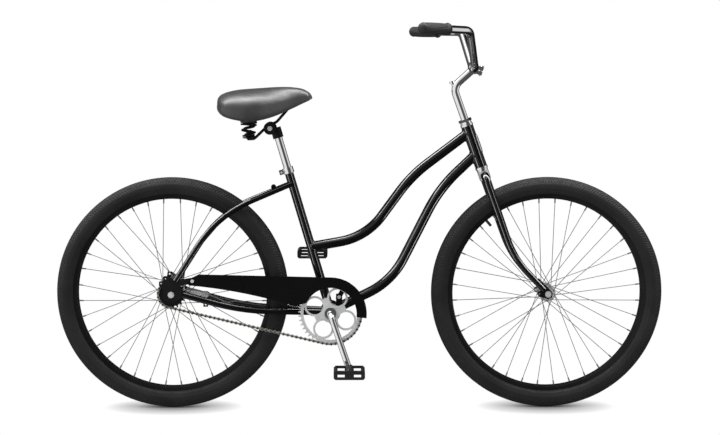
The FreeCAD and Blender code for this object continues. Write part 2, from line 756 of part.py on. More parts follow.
def bearing_balls():
    """Loose balls of the steering and crank bearings."""
    play = mm.ball_play
    balls = []
    radius = (HEAD_BALL_OUTER - HEAD_BALL_INNER) / 2 - play
    circle = (mm.steerer_outer + HEAD_BALL_OUTER + HEAD_BALL_INNER) / 2
    for centre, outward in ((HEAD_TOP, STEER), (HEAD_BOTTOM, STEER * -1)):
        seat = centre + outward * (CUP_FLOOR + radius + play)
        balls += ball_ring(HEAD_BALL_COUNT, radius, circle, seat, outward)
    radius = (CRANK_BALL_OUTER - CRANK_BALL_INNER) / 2 - play
    circle = (mm.crank_spindle_diameter + CRANK_BALL_OUTER + CRANK_BALL_INNER) / 2
    for side in (-1, 1):
        middle = mm.bottom_bracket_width / 2 - CRANK_CUP_DEPTH + CRANK_CUP_WALL + radius + play
        balls += ball_ring(CRANK_BALL_COUNT, radius, circle, BRACKET + LEFT * side * middle, LEFT)
    keep("bearing_balls", feature("bearing_ball_set", Part.makeCompound(balls)))


# Fork, stem and handlebar.

FORK_TIP_FACE = mm.front_hub_width / 2
FRONT_EYELET = (-24.9, 1.0)
FORK_TIP_CORNERS = ((-12, -10), (0, -14), (11, -9), (13, 3), (6, 13), (-16, 34), (-25, 25), (-19, 10),
                    (-28, 8),
                    (-32, 0), (-26, -7))
CROWN_DROP = CUP_HEIGHT + CONE_HEIGHT
CROWN_HEIGHT = 26
CROWN_WALL = 4
BLADE_ROOT = 13
BLADE_SHOULDER = 15
BLADE_ROOT_HALF = 4
BLADE_KNEE = 129
BLADE_KNEE_SPREAD = 4
BLADE_TIP_GAP = 17
BLADE_BENDS = (26, 280)


def fork():
    """A steerer with its crown lug, two blades that curve forward, and a flat tip on each for the axle."""
    crown = mm.fork_length - CROWN_DROP
    steerer_length = CROWN_DROP + mm.head_length + CUP_HEIGHT + CONE_HEIGHT + LOCK_NUT_HEIGHT
    foot = on_steering(crown - CROWN_HEIGHT)
    whole_length = fixed(steerer_length + CROWN_HEIGHT)
    steerer = cylinder("steerer_blank", size.steerer_outer / 2, whole_length, foot, STEER)
    crown_lug = cylinder("crown_lug", size.steerer_outer / 2 + CROWN_WALL, fixed(CROWN_HEIGHT), foot, STEER)
    bore = cylinder("steerer_bore", size.steerer_outer / 2 - size.steerer_wall, whole_length, foot, STEER)
    lug_and_steerer = fuse("steerer_whole", steerer, crown_lug)
    keep("fork_steerer", cut("steerer_cut", lug_and_steerer, bore))
    tips = []
    blades = []
    half = mm.blade_spacing / 2
    reach = FORK_TIP_FACE + mm.dropout_thickness / 2
    outline = [(FRONT_AXLE.x + across, FRONT_AXLE.z + above) for across, above in FORK_TIP_CORNERS]
    holes = [(FRONT_AXLE.x, FRONT_AXLE.z, mm.front_axle_diameter / 2 + mm.sliding_play),
             (FRONT_AXLE.x + FRONT_EYELET[0], FRONT_AXLE.z + FRONT_EYELET[1], mm.eyelet_diameter / 2)]
    for word, side in SIDES:
        near_face = -FORK_TIP_FACE - mm.dropout_thickness if side < 0 else FORK_TIP_FACE
        tip = plate(f"{word}_fork_tip", outline, size.dropout_thickness, near_face, holes)
        tips.append(tip)
        end = on_steering(0, mm.fork_offset, side * reach)
        knee = on_steering(BLADE_KNEE, 0, side * (half + BLADE_KNEE_SPREAD))
        low = end + (knee - end).normalize() * BLADE_TIP_GAP
        route = [on_steering(crown - BLADE_ROOT, 0, side * BLADE_ROOT_HALF),
                 on_steering(crown - BLADE_SHOULDER, 0, side * half), knee, low]
        skin, core = tube(f"{word}_blade", route, BLADE_BENDS, size.blade_top_outer, size.tube_wall,
                          size.blade_tip_outer)
        blades.append(cut(f"{word}_blade_cut", skin, core, lug_and_steerer, tip))
    keep("fork_dropouts", group("fork_tip_pair", *tips))
    keep("fork_blades", group("fork_blade_pair", *blades))


STEM_BEND = 34.0
STEM_CREST = STEM_BEND * 0.33
CLAMP_WALL = 3.0
CLAMP_LEAN = 18
CLAMP_EAR_LENGTH = 16
CLAMP_EAR_WIDTH = 18
CLAMP_EAR_HEIGHT = 24
BAR_PLAY = 0.25
LONG_BOLT_RADIUS = 4.0
LONG_HEAD_RADIUS = 7.0
LONG_HEAD_HEIGHT = 6.0
WEDGE_ANGLE = 40
WEDGE_DROP = 16
WEDGE_LENGTH = 44
WEDGE_GAP = 0.3
WEDGE_BLOCK = 40
BAR_CENTRE = on_steering(mm.stem_height + mm.stem_rise, mm.stem_reach)


def stem():
    """A quill that turns forward to a split clamp, held in the steerer by a wedge and a long bolt."""
    quill_foot = on_steering(mm.fork_length + mm.head_length - mm.stem_insertion)
    bend = on_steering(mm.stem_height)
    crest = bend + STEER * STEM_CREST
    skin = bar("stem_skin", [quill_foot, bend, BAR_CENTRE], (STEM_BEND,),
               size.bar_diameter - size.sliding_play)
    clamp_outer = size.bar_clamp_diameter / 2 + CLAMP_WALL
    clamp_end = BAR_CENTRE + RIGHT * mm.bar_clamp_width / 2
    clamp = cylinder("bar_clamp", clamp_outer, size.bar_clamp_width, clamp_end, LEFT)
    lean = Rotation(LEFT, CLAMP_LEAN)
    forward = lean.multVec(Vector(1, 0, 0))
    bolt_axis = lean.multVec(UP)
    ear_centre = BAR_CENTRE + forward * (float(clamp_outer) + CLAMP_WALL)
    ears = block("bar_clamp_ears", fixed(CLAMP_EAR_LENGTH), fixed(CLAMP_EAR_WIDTH), fixed(CLAMP_EAR_HEIGHT),
                 ear_centre, lean)
    slit = block("bar_clamp_slit", fixed(CLAMP_EAR_LENGTH * 2.5), size.bar_clamp_width + 2, CLAMP_SLIT,
                 ear_centre - forward * CLAMP_WALL * 2, lean)
    bar_bore = cylinder("bar_clamp_bore", size.bar_clamp_diameter / 2 + BAR_PLAY, size.bar_clamp_width,
                        clamp_end, LEFT)
    bolt_place = ear_centre + forward * CLAMP_WALL
    bolt_hole = cylinder("bar_clamp_hole", fixed(CLAMP_BOLT_RADIUS + CLAMP_BOLT_PLAY),
                         fixed(CLAMP_EAR_HEIGHT * 2),
                         bolt_place - bolt_axis * CLAMP_EAR_HEIGHT, bolt_axis)
    long_hole = cylinder("stem_long_hole", fixed(LONG_BOLT_RADIUS + CLAMP_BOLT_PLAY), size.stem_height,
                         quill_foot - STEER * WEDGE_LENGTH, STEER)
    head_room = cylinder("stem_head_room", fixed(LONG_HEAD_RADIUS + WEDGE_GAP), fixed(STEM_BEND), crest,
                         STEER)
    slant = Rotation(UP, STEER) * Rotation(LEFT, WEDGE_ANGLE)
    quill_end = block("quill_end", fixed(WEDGE_BLOCK * 1.5), fixed(WEDGE_BLOCK), fixed(WEDGE_BLOCK),
                      quill_foot, slant)
    whole = fuse("stem_whole", skin, clamp, ears)
    keep("stem", cut("stem_cut", whole, bar_bore, slit, bolt_hole, long_hole, head_room, quill_end))
    wedge_foot = quill_foot - STEER * WEDGE_DROP
    wedge = cylinder("wedge_blank", size.bar_diameter / 2 - size.sliding_play, fixed(WEDGE_LENGTH),
                     wedge_foot, STEER)
    wedge_end = block("wedge_end", fixed(WEDGE_BLOCK * 1.5), fixed(WEDGE_BLOCK), fixed(WEDGE_BLOCK),
                      quill_foot + slant.multVec(UP) * (WEDGE_BLOCK - WEDGE_GAP), slant)
    wedge_hole = cylinder("wedge_hole", fixed(LONG_BOLT_RADIUS + CLAMP_BOLT_PLAY), fixed(WEDGE_LENGTH * 2),
                          wedge_foot - STEER * WEDGE_DROP, STEER)
    keep("stem_wedge", cut("stem_wedge_cut", wedge, wedge_end, wedge_hole))
    long_length = (crest - wedge_foot).Length + LONG_HEAD_HEIGHT / 2
    long_bolt = bolt("stem_long_bolt", long_length, crest, STEER * -1, LONG_BOLT_RADIUS, LONG_HEAD_RADIUS,
                     LONG_HEAD_HEIGHT)
    clamp_bolt = bolt("bar_clamp_bolt", CLAMP_EAR_HEIGHT + CLAMP_WALL,
                      bolt_place + bolt_axis * (CLAMP_EAR_HEIGHT / 2 + PRESS_PLAY), bolt_axis * -1)
    keep("stem_bolts", group("stem_bolt_pair", long_bolt, clamp_bolt))


BAR_SETBACK = -24
BAR_TIP_RISE = 4
BAR_CENTRE_HALF = 52
BAR_BENDS = (50, 48)
SLEEVE_SPARE = 7
GRIP_FLANGE = 2
GRIP_FLANGE_LENGTH = 3
GRIP_CAP = 4
GRIP_BREATHER = fixed(0.5)


def bar_route(side):
    """The right or left half of the handlebar: out of the clamp, up and out, then back along the grip."""
    shoulder = BAR_CENTRE + Vector(BAR_SETBACK, side * mm.bar_shoulder, mm.bar_rise)
    tip = BAR_CENTRE + Vector(BAR_SETBACK - mm.bar_sweep, side * mm.bar_half_width,
                              mm.bar_rise + BAR_TIP_RISE)
    return [BAR_CENTRE + LEFT * side * BAR_CENTRE_HALF, shoulder, tip]


def handlebar():
    """One bent tube with a sleeve where it is clamped, and a closed grip on each end."""
    right = bar_route(-1)
    left = bar_route(1)
    skin, core = tube("bar", right[::-1] + left, BAR_BENDS[::-1] + BAR_BENDS, size.bar_diameter,
                      size.tube_wall)
    sleeve = ring("bar_sleeve", size.bar_clamp_diameter / 2, size.bar_diameter / 2,
                  size.bar_clamp_width + SLEEVE_SPARE * 2,
                  BAR_CENTRE + RIGHT * (mm.bar_clamp_width / 2 + SLEEVE_SPARE), LEFT)
    keep("handlebar", fuse("bar_whole", cut("bar_cut", skin, core), sleeve))
    bore = size.bar_diameter / 2 + PRESS_PLAY
    rim = size.grip_diameter / 2
    flange = rim + GRIP_FLANGE
    lip = fixed(GRIP_FLANGE_LENGTH)
    long = size.grip_length
    floor = long - GRIP_CAP + PRESS_PLAY
    corners = [(bore, fixed(0)), (flange, fixed(0)), (flange, lip), (rim, lip + GRIP_FLANGE),
               (rim, long - GRIP_CAP),
               (rim - GRIP_CAP, long), (GRIP_BREATHER, long), (GRIP_BREATHER, floor), (bore, floor)]
    for (word, _), half in zip(SIDES, (right, left)):
        outward = (half[2] - half[1]).normalize()
        start = half[2] - outward * (mm.grip_length - GRIP_CAP)
        keep(f"{word}_grip", turned(f"{word}_grip_body", corners, start, outward))


# Wheels.

RIM_EDGE = size.bead_seat_radius + size.rim_flange_height
RIM_INNER = RIM_EDGE - size.rim_depth
TREAD_CIRCLE = size.tyre_radius - size.tyre_section / 2
BEAD_RISE = 1.2
BEAD_PLAY = 0.3
BEAD_THICKNESS = 2.4
FOOT_OVERHANG = 0.77
FOOT_INSET = 2.38
TUBE_FLOOR = 3
TUBE_PLAY = 1.6
TUBE_WALL = 1.6
RIM_LEDGE = 5
RIM_WELL = 3.5
RIM_WELL_EDGE = 7
RIM_BEVEL = 4
RIM_FLAT_EDGE = 6
VALVE_PLAY = 0.3
VALVE_ANGLES = {"front": 130, "rear": -10}


def valve_way(word):
    """Direction from a wheel's axle to its valve, in the wheel's plane."""
    angle = math.radians(VALVE_ANGLES[word])
    return Vector(math.cos(angle), 0, math.sin(angle))


def torus(name, ring_radius, section_radius, centre):
    item = bind(doc.addObject("Part::Torus", name), Radius1=ring_radius, Radius2=section_radius)
    return place(item, centre, LEFT)


def wall_middle(widest, foot, side):
    """A point half way along a side wall, an arc from the tyre's widest place down to its foot on the rim."""
    drop = float(TREAD_CIRCLE - RIM_EDGE) - BEAD_PLAY
    pull = widest - foot
    bend = (drop ** 2 + pull ** 2) / (2 * pull)
    middle = math.atan2(drop, bend - pull) / 2
    return float(TREAD_CIRCLE) - bend * math.sin(middle), side * (widest - bend + bend * math.cos(middle))


def tyre_shell(word, centre):
    """The casing: a round crown and two side walls that stand on the rim's edges."""
    ring_radius = float(TREAD_CIRCLE)
    half = mm.tyre_section / 2
    lining = half - mm.tyre_wall
    foot = float(RIM_EDGE) + BEAD_PLAY
    outer_foot = mm.rim_inner_width / 2 + mm.rim_wall + FOOT_OVERHANG
    inner_foot = mm.rim_inner_width / 2 - FOOT_INSET
    steps = [(ring_radius, -half) + wall_middle(half, outer_foot, -1),
             (ring_radius, half, ring_radius + half, 0),
             (foot, outer_foot) + wall_middle(half, outer_foot, 1),
             (foot, inner_foot),
             (ring_radius, lining) + wall_middle(lining, inner_foot, 1),
             (ring_radius, -lining, ring_radius + lining, 0),
             (foot, -inner_foot) + wall_middle(lining, inner_foot, -1),
             (foot, -outer_foot)]
    return turned_curve(f"{word}_tyre_shell", steps, centre, LEFT)


def tyre(word, centre):
    """A hollow tyre that is open at the rim, with two beads inside the rim's flanges."""
    shell = tyre_shell(word, centre)
    beads = []
    for side in (-1, 1):
        outer_face = mm.rim_inner_width / 2 - BEAD_PLAY
        start = outer_face if side < 0 else outer_face - BEAD_THICKNESS
        base = centre + LEFT * (-start if side < 0 else start)
        beads.append(ring(f"{word}_bead_{side + 1}", RIM_EDGE + BEAD_RISE, size.bead_seat_radius + BEAD_PLAY,
                          fixed(BEAD_THICKNESS), base, LEFT))
    keep(f"{word}_tyre", fuse(f"{word}_tyre_whole", shell, *beads))
    by_wall = size.tyre_section / 2 - size.tyre_wall - TUBE_PLAY
    by_rim = TREAD_CIRCLE - size.bead_seat_radius - TUBE_FLOOR
    tube_radius = min(by_wall, by_rim, key=float)
    ring_tube = torus(f"{word}_tube_ring", TREAD_CIRCLE, tube_radius, centre)
    hollow = torus(f"{word}_tube_hollow", TREAD_CIRCLE, tube_radius - TUBE_WALL, centre)
    valve_root = centre + valve_way(word) * (float(TREAD_CIRCLE) - float(tube_radius) + TUBE_WALL / 2)
    valve_run = TREAD_CIRCLE - tube_radius + TUBE_WALL / 2 - RIM_EDGE + size.valve_length + VALVE_PLAY
    valve = cylinder(f"{word}_valve", size.valve_diameter / 2, valve_run, valve_root, valve_way(word) * -1)
    shell = cut(f"{word}_tube_cut", ring_tube, hollow)
    keep(f"{word}_inner_tube", fuse(f"{word}_inner_tube_whole", shell, valve))


def rim(word, centre):
    """A drop-centre rim with a flange each side and a hole for the valve."""
    half = size.rim_inner_width / 2
    wall = size.rim_wall
    seat = size.bead_seat_radius
    well = seat - RIM_WELL
    bevel = RIM_INNER + RIM_BEVEL
    corners = [(RIM_EDGE, -half - wall), (RIM_EDGE, -half), (seat, -half), (seat, -half + RIM_LEDGE),
               (well, -half + RIM_WELL_EDGE), (well, half - RIM_WELL_EDGE), (seat, half - RIM_LEDGE),
               (seat, half),
               (RIM_EDGE, half), (RIM_EDGE, half + wall), (bevel, half - 0.5),
               (RIM_INNER, half - RIM_FLAT_EDGE),
               (RIM_INNER, -half + RIM_FLAT_EDGE), (bevel, -half + 0.5)]
    hoop = turned(f"{word}_rim_hoop", corners, centre, LEFT)
    hole = cylinder(f"{word}_valve_hole", size.valve_diameter / 2 + VALVE_PLAY, size.valve_length,
                    centre + valve_way(word) * float(RIM_EDGE), valve_way(word) * -1)
    keep(f"{word}_rim", cut(f"{word}_rim_cut", hoop, hole))


SPOKE_CLEARANCE = 1.2
SPOKE_LAY = mm.flange_thickness / 2 + mm.spoke_gauge / 2 + SPOKE_CLEARANCE
NIPPLE_GAP = 0.5
NIPPLE_STAGGER = 2.5
SPOKE_HEAD = 1.8
SPOKE_HEAD_LENGTH = 1.0
SPOKE_HOLE_PLAY = 0.25
HEAD_GAP = 0.4


def spoke_ends(centre, flange_half, hole_radius):
    """Hub and rim ends of every spoke, with the side and the side of its flange that it lies on."""
    per_flange = int(mm.spoke_count) // 2
    hole_step = 2 * math.pi / per_flange
    rim_step = 2 * math.pi / mm.spoke_count
    for number in range(int(mm.spoke_count)):
        side = 1 if number % 2 else -1
        leading = 1 if (number // 2) % 2 else -1
        rim_angle = (number + 0.5) * rim_step + math.pi / 2
        hub_angle = rim_angle - leading * mm.spoke_crossings * hole_step
        hub = Vector(hole_radius * math.cos(hub_angle), side * (flange_half + leading * SPOKE_LAY),
                     hole_radius * math.sin(hub_angle))
        reach = float(RIM_INNER) - NIPPLE_GAP
        rim_point = Vector(reach * math.cos(rim_angle), side * NIPPLE_STAGGER, reach * math.sin(rim_angle))
        yield centre + hub, centre + rim_point, side, leading


def spokes(word, centre, flange_half, hole_radius):
    """Straight spokes, each with its nipple at the rim and its elbow and head through the flange."""
    solids = []
    radius = mm.spoke_gauge / 2
    for hub, rim_point, side, leading in spoke_ends(centre, flange_half, hole_radius):
        run = rim_point - hub
        along = run / run.Length
        wire = Part.makeCylinder(radius, run.Length - 1, hub, along)
        nipple_foot = rim_point - along * mm.nipple_length
        nipple = Part.makeCylinder(mm.nipple_gauge / 2, mm.nipple_length, nipple_foot, along)
        inward = LEFT * -side * leading
        elbow_length = SPOKE_LAY + mm.flange_thickness / 2 + HEAD_GAP
        elbow = Part.makeCylinder(radius, elbow_length, hub, inward)
        head = Part.makeCylinder(radius * SPOKE_HEAD, SPOKE_HEAD_LENGTH, hub + inward * elbow_length, inward)
        knuckle = Part.makeSphere(radius, hub)
        solids.append(wire.multiFuse([nipple, elbow, head, knuckle]))
    keep(f"{word}_spokes", feature(f"{word}_spoke_set", Part.makeCompound(solids)))


def flange_holes(word, centre, flange_half, hole_radius):
    """The holes that the spokes' elbows pass through."""
    pins = []
    bore = mm.spoke_gauge / 2 + SPOKE_HOLE_PLAY
    for hub, _, side, _ in spoke_ends(centre, flange_half, hole_radius):
        start = Vector(hub.x, side * (flange_half - mm.flange_thickness), hub.z)
        pins.append(Part.makeCylinder(bore, 2 * mm.flange_thickness, start, LEFT * side))
    return feature(f"{word}_flange_holes", Part.makeCompound(pins))


FLANGE_MARGIN = 4
MOUTH_WALL = 2.5
FRONT_MOUTH = 6
REAR_MOUTH = 4
FRONT_BALL_COUNT = 9
REAR_BALL_COUNT = 14
REAR_BALL_RADIUS = 3.0
CONE_DEPTH = 1.6
NUT_FLANGE = 1.5
NUT_FLANGE_HEIGHT = fixed(2)


def hub(word, centre, barrel, bore, flange_half, hole_circle, end):
    """A flanged hub shell with its bearing mouths at both ends."""
    thick = size.flange_thickness / 2
    edge = hole_circle + FLANGE_MARGIN
    mouth = bore + MOUTH_WALL
    inner = flange_half - thick
    outer = flange_half + thick
    corners = [(bore, -end), (mouth, -end), (mouth, -outer), (edge, -outer), (edge, -inner), (barrel, -inner),
               (barrel, inner), (edge, inner), (edge, outer), (mouth, outer), (mouth, end), (bore, end)]
    shell = turned(f"{word}_hub_shell", corners, centre, LEFT)
    pins = flange_holes(word, centre, float(flange_half), float(hole_circle))
    keep(f"{word}_hub", cut(f"{word}_hub_cut", shell, pins))


def front_wheel():
    flange_half = size.front_flange_spacing / 2
    end = flange_half + FRONT_MOUTH
    tyre("front", FRONT_AXLE)
    rim("front", FRONT_AXLE)
    spokes("front", FRONT_AXLE, float(flange_half), mm.front_flange_hole_radius)
    hub("front", FRONT_AXLE, size.front_barrel_radius, size.front_bore_radius, flange_half,
        size.front_flange_hole_radius, end)
    axle_radius = size.front_axle_diameter / 2
    half_axle = size.front_hub_width / 2 + size.dropout_thickness + size.axle_nut_height + size.axle_overhang
    rod = cylinder("front_axle_rod", axle_radius, half_axle * 2, FRONT_AXLE - LEFT * float(half_axle), LEFT)
    keep("front_axle", rod)
    balls = []
    cones = []
    nuts = []
    radius = (mm.front_bore_radius - mm.front_axle_diameter / 2) / 2 - mm.ball_play
    circle = (mm.front_bore_radius + mm.front_axle_diameter / 2) / 2
    cone_start = end - CONE_DEPTH
    cone_length = size.front_hub_width / 2 - cone_start
    ball_place = float(cone_start) - radius - mm.ball_play
    for word, side in SIDES:
        outward = LEFT * side
        balls += ball_ring(FRONT_BALL_COUNT, radius, circle, FRONT_AXLE + outward * ball_place, LEFT)
        cones.append(ring(f"front_cone_{word}", size.front_bore_radius - size.sliding_play,
                          axle_radius + PRESS_PLAY,
                          cone_length, FRONT_AXLE + outward * float(cone_start), outward))
        nuts.append(axle_nut(f"front_nut_{word}", axle_radius, FRONT_AXLE, mm.front_hub_width, outward))
    keep("front_hub_balls", feature("front_ball_set", Part.makeCompound(balls)))
    keep("front_hub_cones", group("front_cone_pair", *cones))
    keep("front_axle_nuts", group("front_nut_pair", *nuts))


def axle_nut(name, axle_radius, centre, hub_width, outward):
    """A hexagon nut with its washer face against the dropout."""
    base = centre + outward * (hub_width / 2 + mm.dropout_thickness)
    flange = cylinder(f"{name}_flange", size.axle_nut_width / 2 + NUT_FLANGE, NUT_FLANGE_HEIGHT, base,
                      outward)
    body = hexagon(f"{name}_hex", size.axle_nut_width, size.axle_nut_height, base, outward)
    bore = cylinder(f"{name}_bore", axle_radius + PRESS_PLAY, size.axle_nut_height, base, outward)
    return cut(name, fuse(f"{name}_whole", flange, body), bore)


SPROCKET_BORE = 17.0
DRIVER_LIP = 5.0
DRIVER_WALL = size.rear_bore_radius - REAR_BALL_RADIUS * 2 - size.sliding_play
AXLE_COLLAR = 5
BRAKE_CAP_DEPTH = 8.0
BRAKE_COVER = 4
BRAKE_COVER_GAP = 0.5
BRAKE_SHOE_PLAY = 0.4
BRAKE_ARM_FACE = 41.5
BRAKE_ARM_END = Vector(91, 0, -12)
BRAKE_ARM_GAUGE = fixed(3)
BRAKE_ARM_WIDTH = fixed(15)
BRAKE_EYE_RADIUS = fixed(9)
BRAKE_SCREW_HOLE = fixed(3.2)


def rear_wheel():
    flange_half = size.rear_flange_spacing / 2
    end = flange_half + REAR_MOUTH
    tyre("rear", REAR_AXLE)
    rim("rear", REAR_AXLE)
    spokes("rear", REAR_AXLE, float(flange_half), mm.rear_flange_hole_radius)
    hub("rear", REAR_AXLE, size.rear_barrel_radius, size.rear_bore_radius, flange_half,
        size.rear_flange_hole_radius, end)
    balls = []
    circle = mm.rear_bore_radius - REAR_BALL_RADIUS
    for side in (-1, 1):
        place_along = LEFT * side * (float(end) - REAR_MOUTH)
        balls += ball_ring(REAR_BALL_COUNT, REAR_BALL_RADIUS - mm.ball_play / 2, circle,
                           REAR_AXLE + place_along, LEFT)
    keep("rear_hub_balls", feature("rear_ball_set", Part.makeCompound(balls)))
    rear_axle(size.rear_axle_diameter / 2)
    coaster_brake(size.rear_axle_diameter / 2, flange_half, end)


def rear_axle(radius):
    """The axle with the collar that the driver runs against, and its two nuts."""
    half_axle = size.rear_hub_width / 2 + size.dropout_thickness + size.axle_nut_height + size.axle_overhang
    rod = cylinder("rear_axle_rod", radius, half_axle * 2, REAR_AXLE - LEFT * float(half_axle), LEFT)
    collar_start = size.chain_line + DRIVER_LIP + size.sliding_play
    collar = cylinder("rear_axle_collar", radius + AXLE_COLLAR,
                      size.rear_hub_width / 2 - collar_start - PRESS_PLAY,
                      REAR_AXLE + RIGHT * float(collar_start), RIGHT)
    keep("rear_axle", fuse("rear_axle_whole", rod, collar))
    nuts = []
    for word, side in SIDES:
        nuts.append(axle_nut(f"rear_nut_{word}", radius, REAR_AXLE, mm.rear_hub_width, LEFT * side))
    keep("rear_axle_nuts", group("rear_nut_pair", *nuts))


def coaster_brake(axle_radius, flange_half, end):
    """Shoes inside the hub, and a cap over its left mouth with the arm that runs along the chain stay."""
    shoe_start = flange_half - BRAKE_CAP_DEPTH
    shoe_end = end - BRAKE_CAP_DEPTH - BRAKE_SHOE_PLAY
    shoe_ring = ring("brake_shoe_ring", size.rear_bore_radius - BRAKE_SHOE_PLAY, axle_radius + PRESS_PLAY,
                     shoe_start + shoe_end, REAR_AXLE + RIGHT * float(shoe_start), LEFT)
    split = block("brake_shoe_split", size.rear_hub_width, size.rear_hub_width, CLAMP_SLIT, REAR_AXLE)
    keep("brake_shoes", cut("brake_shoe_pair", shoe_ring, split))
    cap_foot = end - BRAKE_CAP_DEPTH
    cover_start = end + BRAKE_COVER_GAP
    arm_face = fixed(BRAKE_ARM_FACE)
    face_point = REAR_AXLE + LEFT * BRAKE_ARM_FACE
    cap = cylinder("brake_cap", DRIVER_WALL, arm_face - cap_foot, REAR_AXLE + LEFT * float(cap_foot), LEFT)
    cover = cylinder("brake_cover", size.rear_bore_radius + BRAKE_COVER, arm_face - cover_start,
                     REAR_AXLE + LEFT * float(cover_start), LEFT)
    spacer = cylinder("brake_spacer", axle_radius + AXLE_COLLAR, size.rear_hub_width / 2 - BRAKE_ARM_FACE,
                      face_point,
                      LEFT)
    heading = math.degrees(math.atan2(-BRAKE_ARM_END.z, BRAKE_ARM_END.x))
    middle = face_point + BRAKE_ARM_END * 0.5 + LEFT * float(BRAKE_ARM_GAUGE) / 2
    arm = block("brake_strip", fixed(BRAKE_ARM_END.Length), BRAKE_ARM_GAUGE, BRAKE_ARM_WIDTH, middle,
                Rotation(LEFT, heading))
    eye = cylinder("brake_arm_eye", BRAKE_EYE_RADIUS, BRAKE_ARM_GAUGE, face_point + BRAKE_ARM_END, LEFT)
    hole = cylinder("brake_arm_hole", BRAKE_SCREW_HOLE, BRAKE_ARM_GAUGE, face_point + BRAKE_ARM_END, LEFT)
    axle_hole = cylinder("brake_axle_hole", axle_radius + PRESS_PLAY, size.rear_hub_width, REAR_AXLE, LEFT)
    whole = fuse("brake_arm_whole", cap, cover, spacer, arm, eye)
    keep("brake_arm", cut("brake_arm_cut", whole, axle_hole, hole))


# Chain drive.

TOOTH_PLAY = 0.3
TOOTH_HEIGHT = 0.48
TOOTH_TIP = 0.054
SEAT_WRAP = math.pi * 0.62


def toothed(teeth, radius, phase):
    """A sprocket blank: a disc with a rounded seat for every roller and teeth between them."""
    seat = mm.roller_diameter / 2 + TOOTH_PLAY
    tip_radius = radius + mm.roller_diameter * TOOTH_HEIGHT
    edges = []
    step = 2 * math.pi / teeth
    lip = TOOTH_TIP * step

    def polar(reach, angle):
        return Vector(reach * math.cos(angle), reach * math.sin(angle), 0)

    for number in range(int(teeth)):
        angle = phase + number * step
        left_tip = polar(tip_radius, angle - step / 2 + lip)
        right_tip = polar(tip_radius, angle + step / 2 - lip)
        next_tip = polar(tip_radius, angle + step / 2 + lip)
        left_seat = polar(radius, angle) + polar(seat, angle + SEAT_WRAP)
        right_seat = polar(radius, angle) + polar(seat, angle - SEAT_WRAP)
        bottom = polar(radius - seat, angle)
        edges.append(Part.LineSegment(left_tip, right_seat))
        edges.append(Part.Arc(right_seat, bottom, left_seat))
        edges.append(Part.LineSegment(left_seat, right_tip))
        edges.append(Part.LineSegment(right_tip, next_tip))
    return edges


def sprocket_body(name, edges, centre, openings):
    """Pads a toothed outline with its openings, half to each side of the chain line."""
    body = doc.addObject("PartDesign::Body", name)
    sketch = new_sketch(body, f"{name}_outline", "XZ_Plane")
    sketch.addGeometry(edges)
    for opening in openings:
        sketch.addGeometry(opening)
    pad = body.newObject("PartDesign::Pad", f"{name}_pad")
    pad.Profile = sketch
    pad.Midplane = True
    bind(pad, Length=size.sprocket_thickness)
    body.Placement = Placement(centre + RIGHT * mm.chain_line, Rotation())
    return body


CHAIN_HEADING = math.atan2(BRACKET.z - REAR_AXLE.z, BRACKET.x - REAR_AXLE.x)
CHAIN_LEAN = math.asin((RING_RADIUS - COG_RADIUS) / CENTRE_DISTANCE)
UPPER_NORMAL = CHAIN_HEADING + math.pi / 2 + CHAIN_LEAN
LOWER_NORMAL = CHAIN_HEADING - math.pi / 2 - CHAIN_LEAN
RING_STEP = 2 * math.pi / mm.chainring_teeth
COG_STEP = 2 * math.pi / mm.sprocket_teeth
RING_WRAP = (math.pi + 2 * CHAIN_LEAN) / RING_STEP
COG_WRAP = (math.pi - 2 * CHAIN_LEAN) / COG_STEP
STRAIGHT_RUN = math.sqrt(CENTRE_DISTANCE ** 2 - (RING_RADIUS - COG_RADIUS) ** 2) / mm.chain_pitch
FIRST_ROLLER = (RING_WRAP / 2) % 1


def on_circle(centre, radius, angle):
    return centre + Vector(radius * math.cos(angle), 0, radius * math.sin(angle))


def chain_point(travel):
    """A roller's centre, by how many pitches it lies past the top of the chainring's wrap."""
    travel %= mm.chain_links
    if travel <= RING_WRAP:
        return on_circle(BRACKET, RING_RADIUS, UPPER_NORMAL - travel * RING_STEP)
    travel -= RING_WRAP
    if travel <= STRAIGHT_RUN:
        start = on_circle(BRACKET, RING_RADIUS, LOWER_NORMAL)
        end = on_circle(REAR_AXLE, COG_RADIUS, LOWER_NORMAL)
        return start + (end - start) * (travel / STRAIGHT_RUN)
    travel -= STRAIGHT_RUN
    if travel <= COG_WRAP:
        return on_circle(REAR_AXLE, COG_RADIUS, LOWER_NORMAL - travel * COG_STEP)
    travel -= COG_WRAP
    start = on_circle(REAR_AXLE, COG_RADIUS, UPPER_NORMAL)
    end = on_circle(BRACKET, RING_RADIUS, UPPER_NORMAL)
    return start + (end - start) * min(1.0, travel / STRAIGHT_RUN)


def chain_plate(inner_face):
    """One side plate of a link, with round ends, from its inner face outwards."""
    half = mm.chain_plate_height / 2
    pitch = mm.chain_pitch
    low_rear = Vector(0, inner_face, -half)
    low_front = Vector(pitch, inner_face, -half)
    top_front = Vector(pitch, inner_face, half)
    top_rear = Vector(0, inner_face, half)
    edges = [Part.LineSegment(low_rear, low_front),
             Part.Arc(low_front, Vector(pitch + half, inner_face, 0), top_front),
             Part.LineSegment(top_front, top_rear),
             Part.Arc(top_rear, Vector(-half, inner_face, 0), low_rear)]
    face = Part.Face(Part.Wire([edge.toShape() for edge in edges]))
    return face.extrude(Vector(0, math.copysign(mm.chain_plate_thickness, inner_face), 0))


def chain_pins(radius, half_width):
    ends = (Vector(0, -half_width, 0), Vector(mm.chain_pitch, -half_width, 0))
    return [Part.makeCylinder(radius, 2 * half_width, end, LEFT) for end in ends]


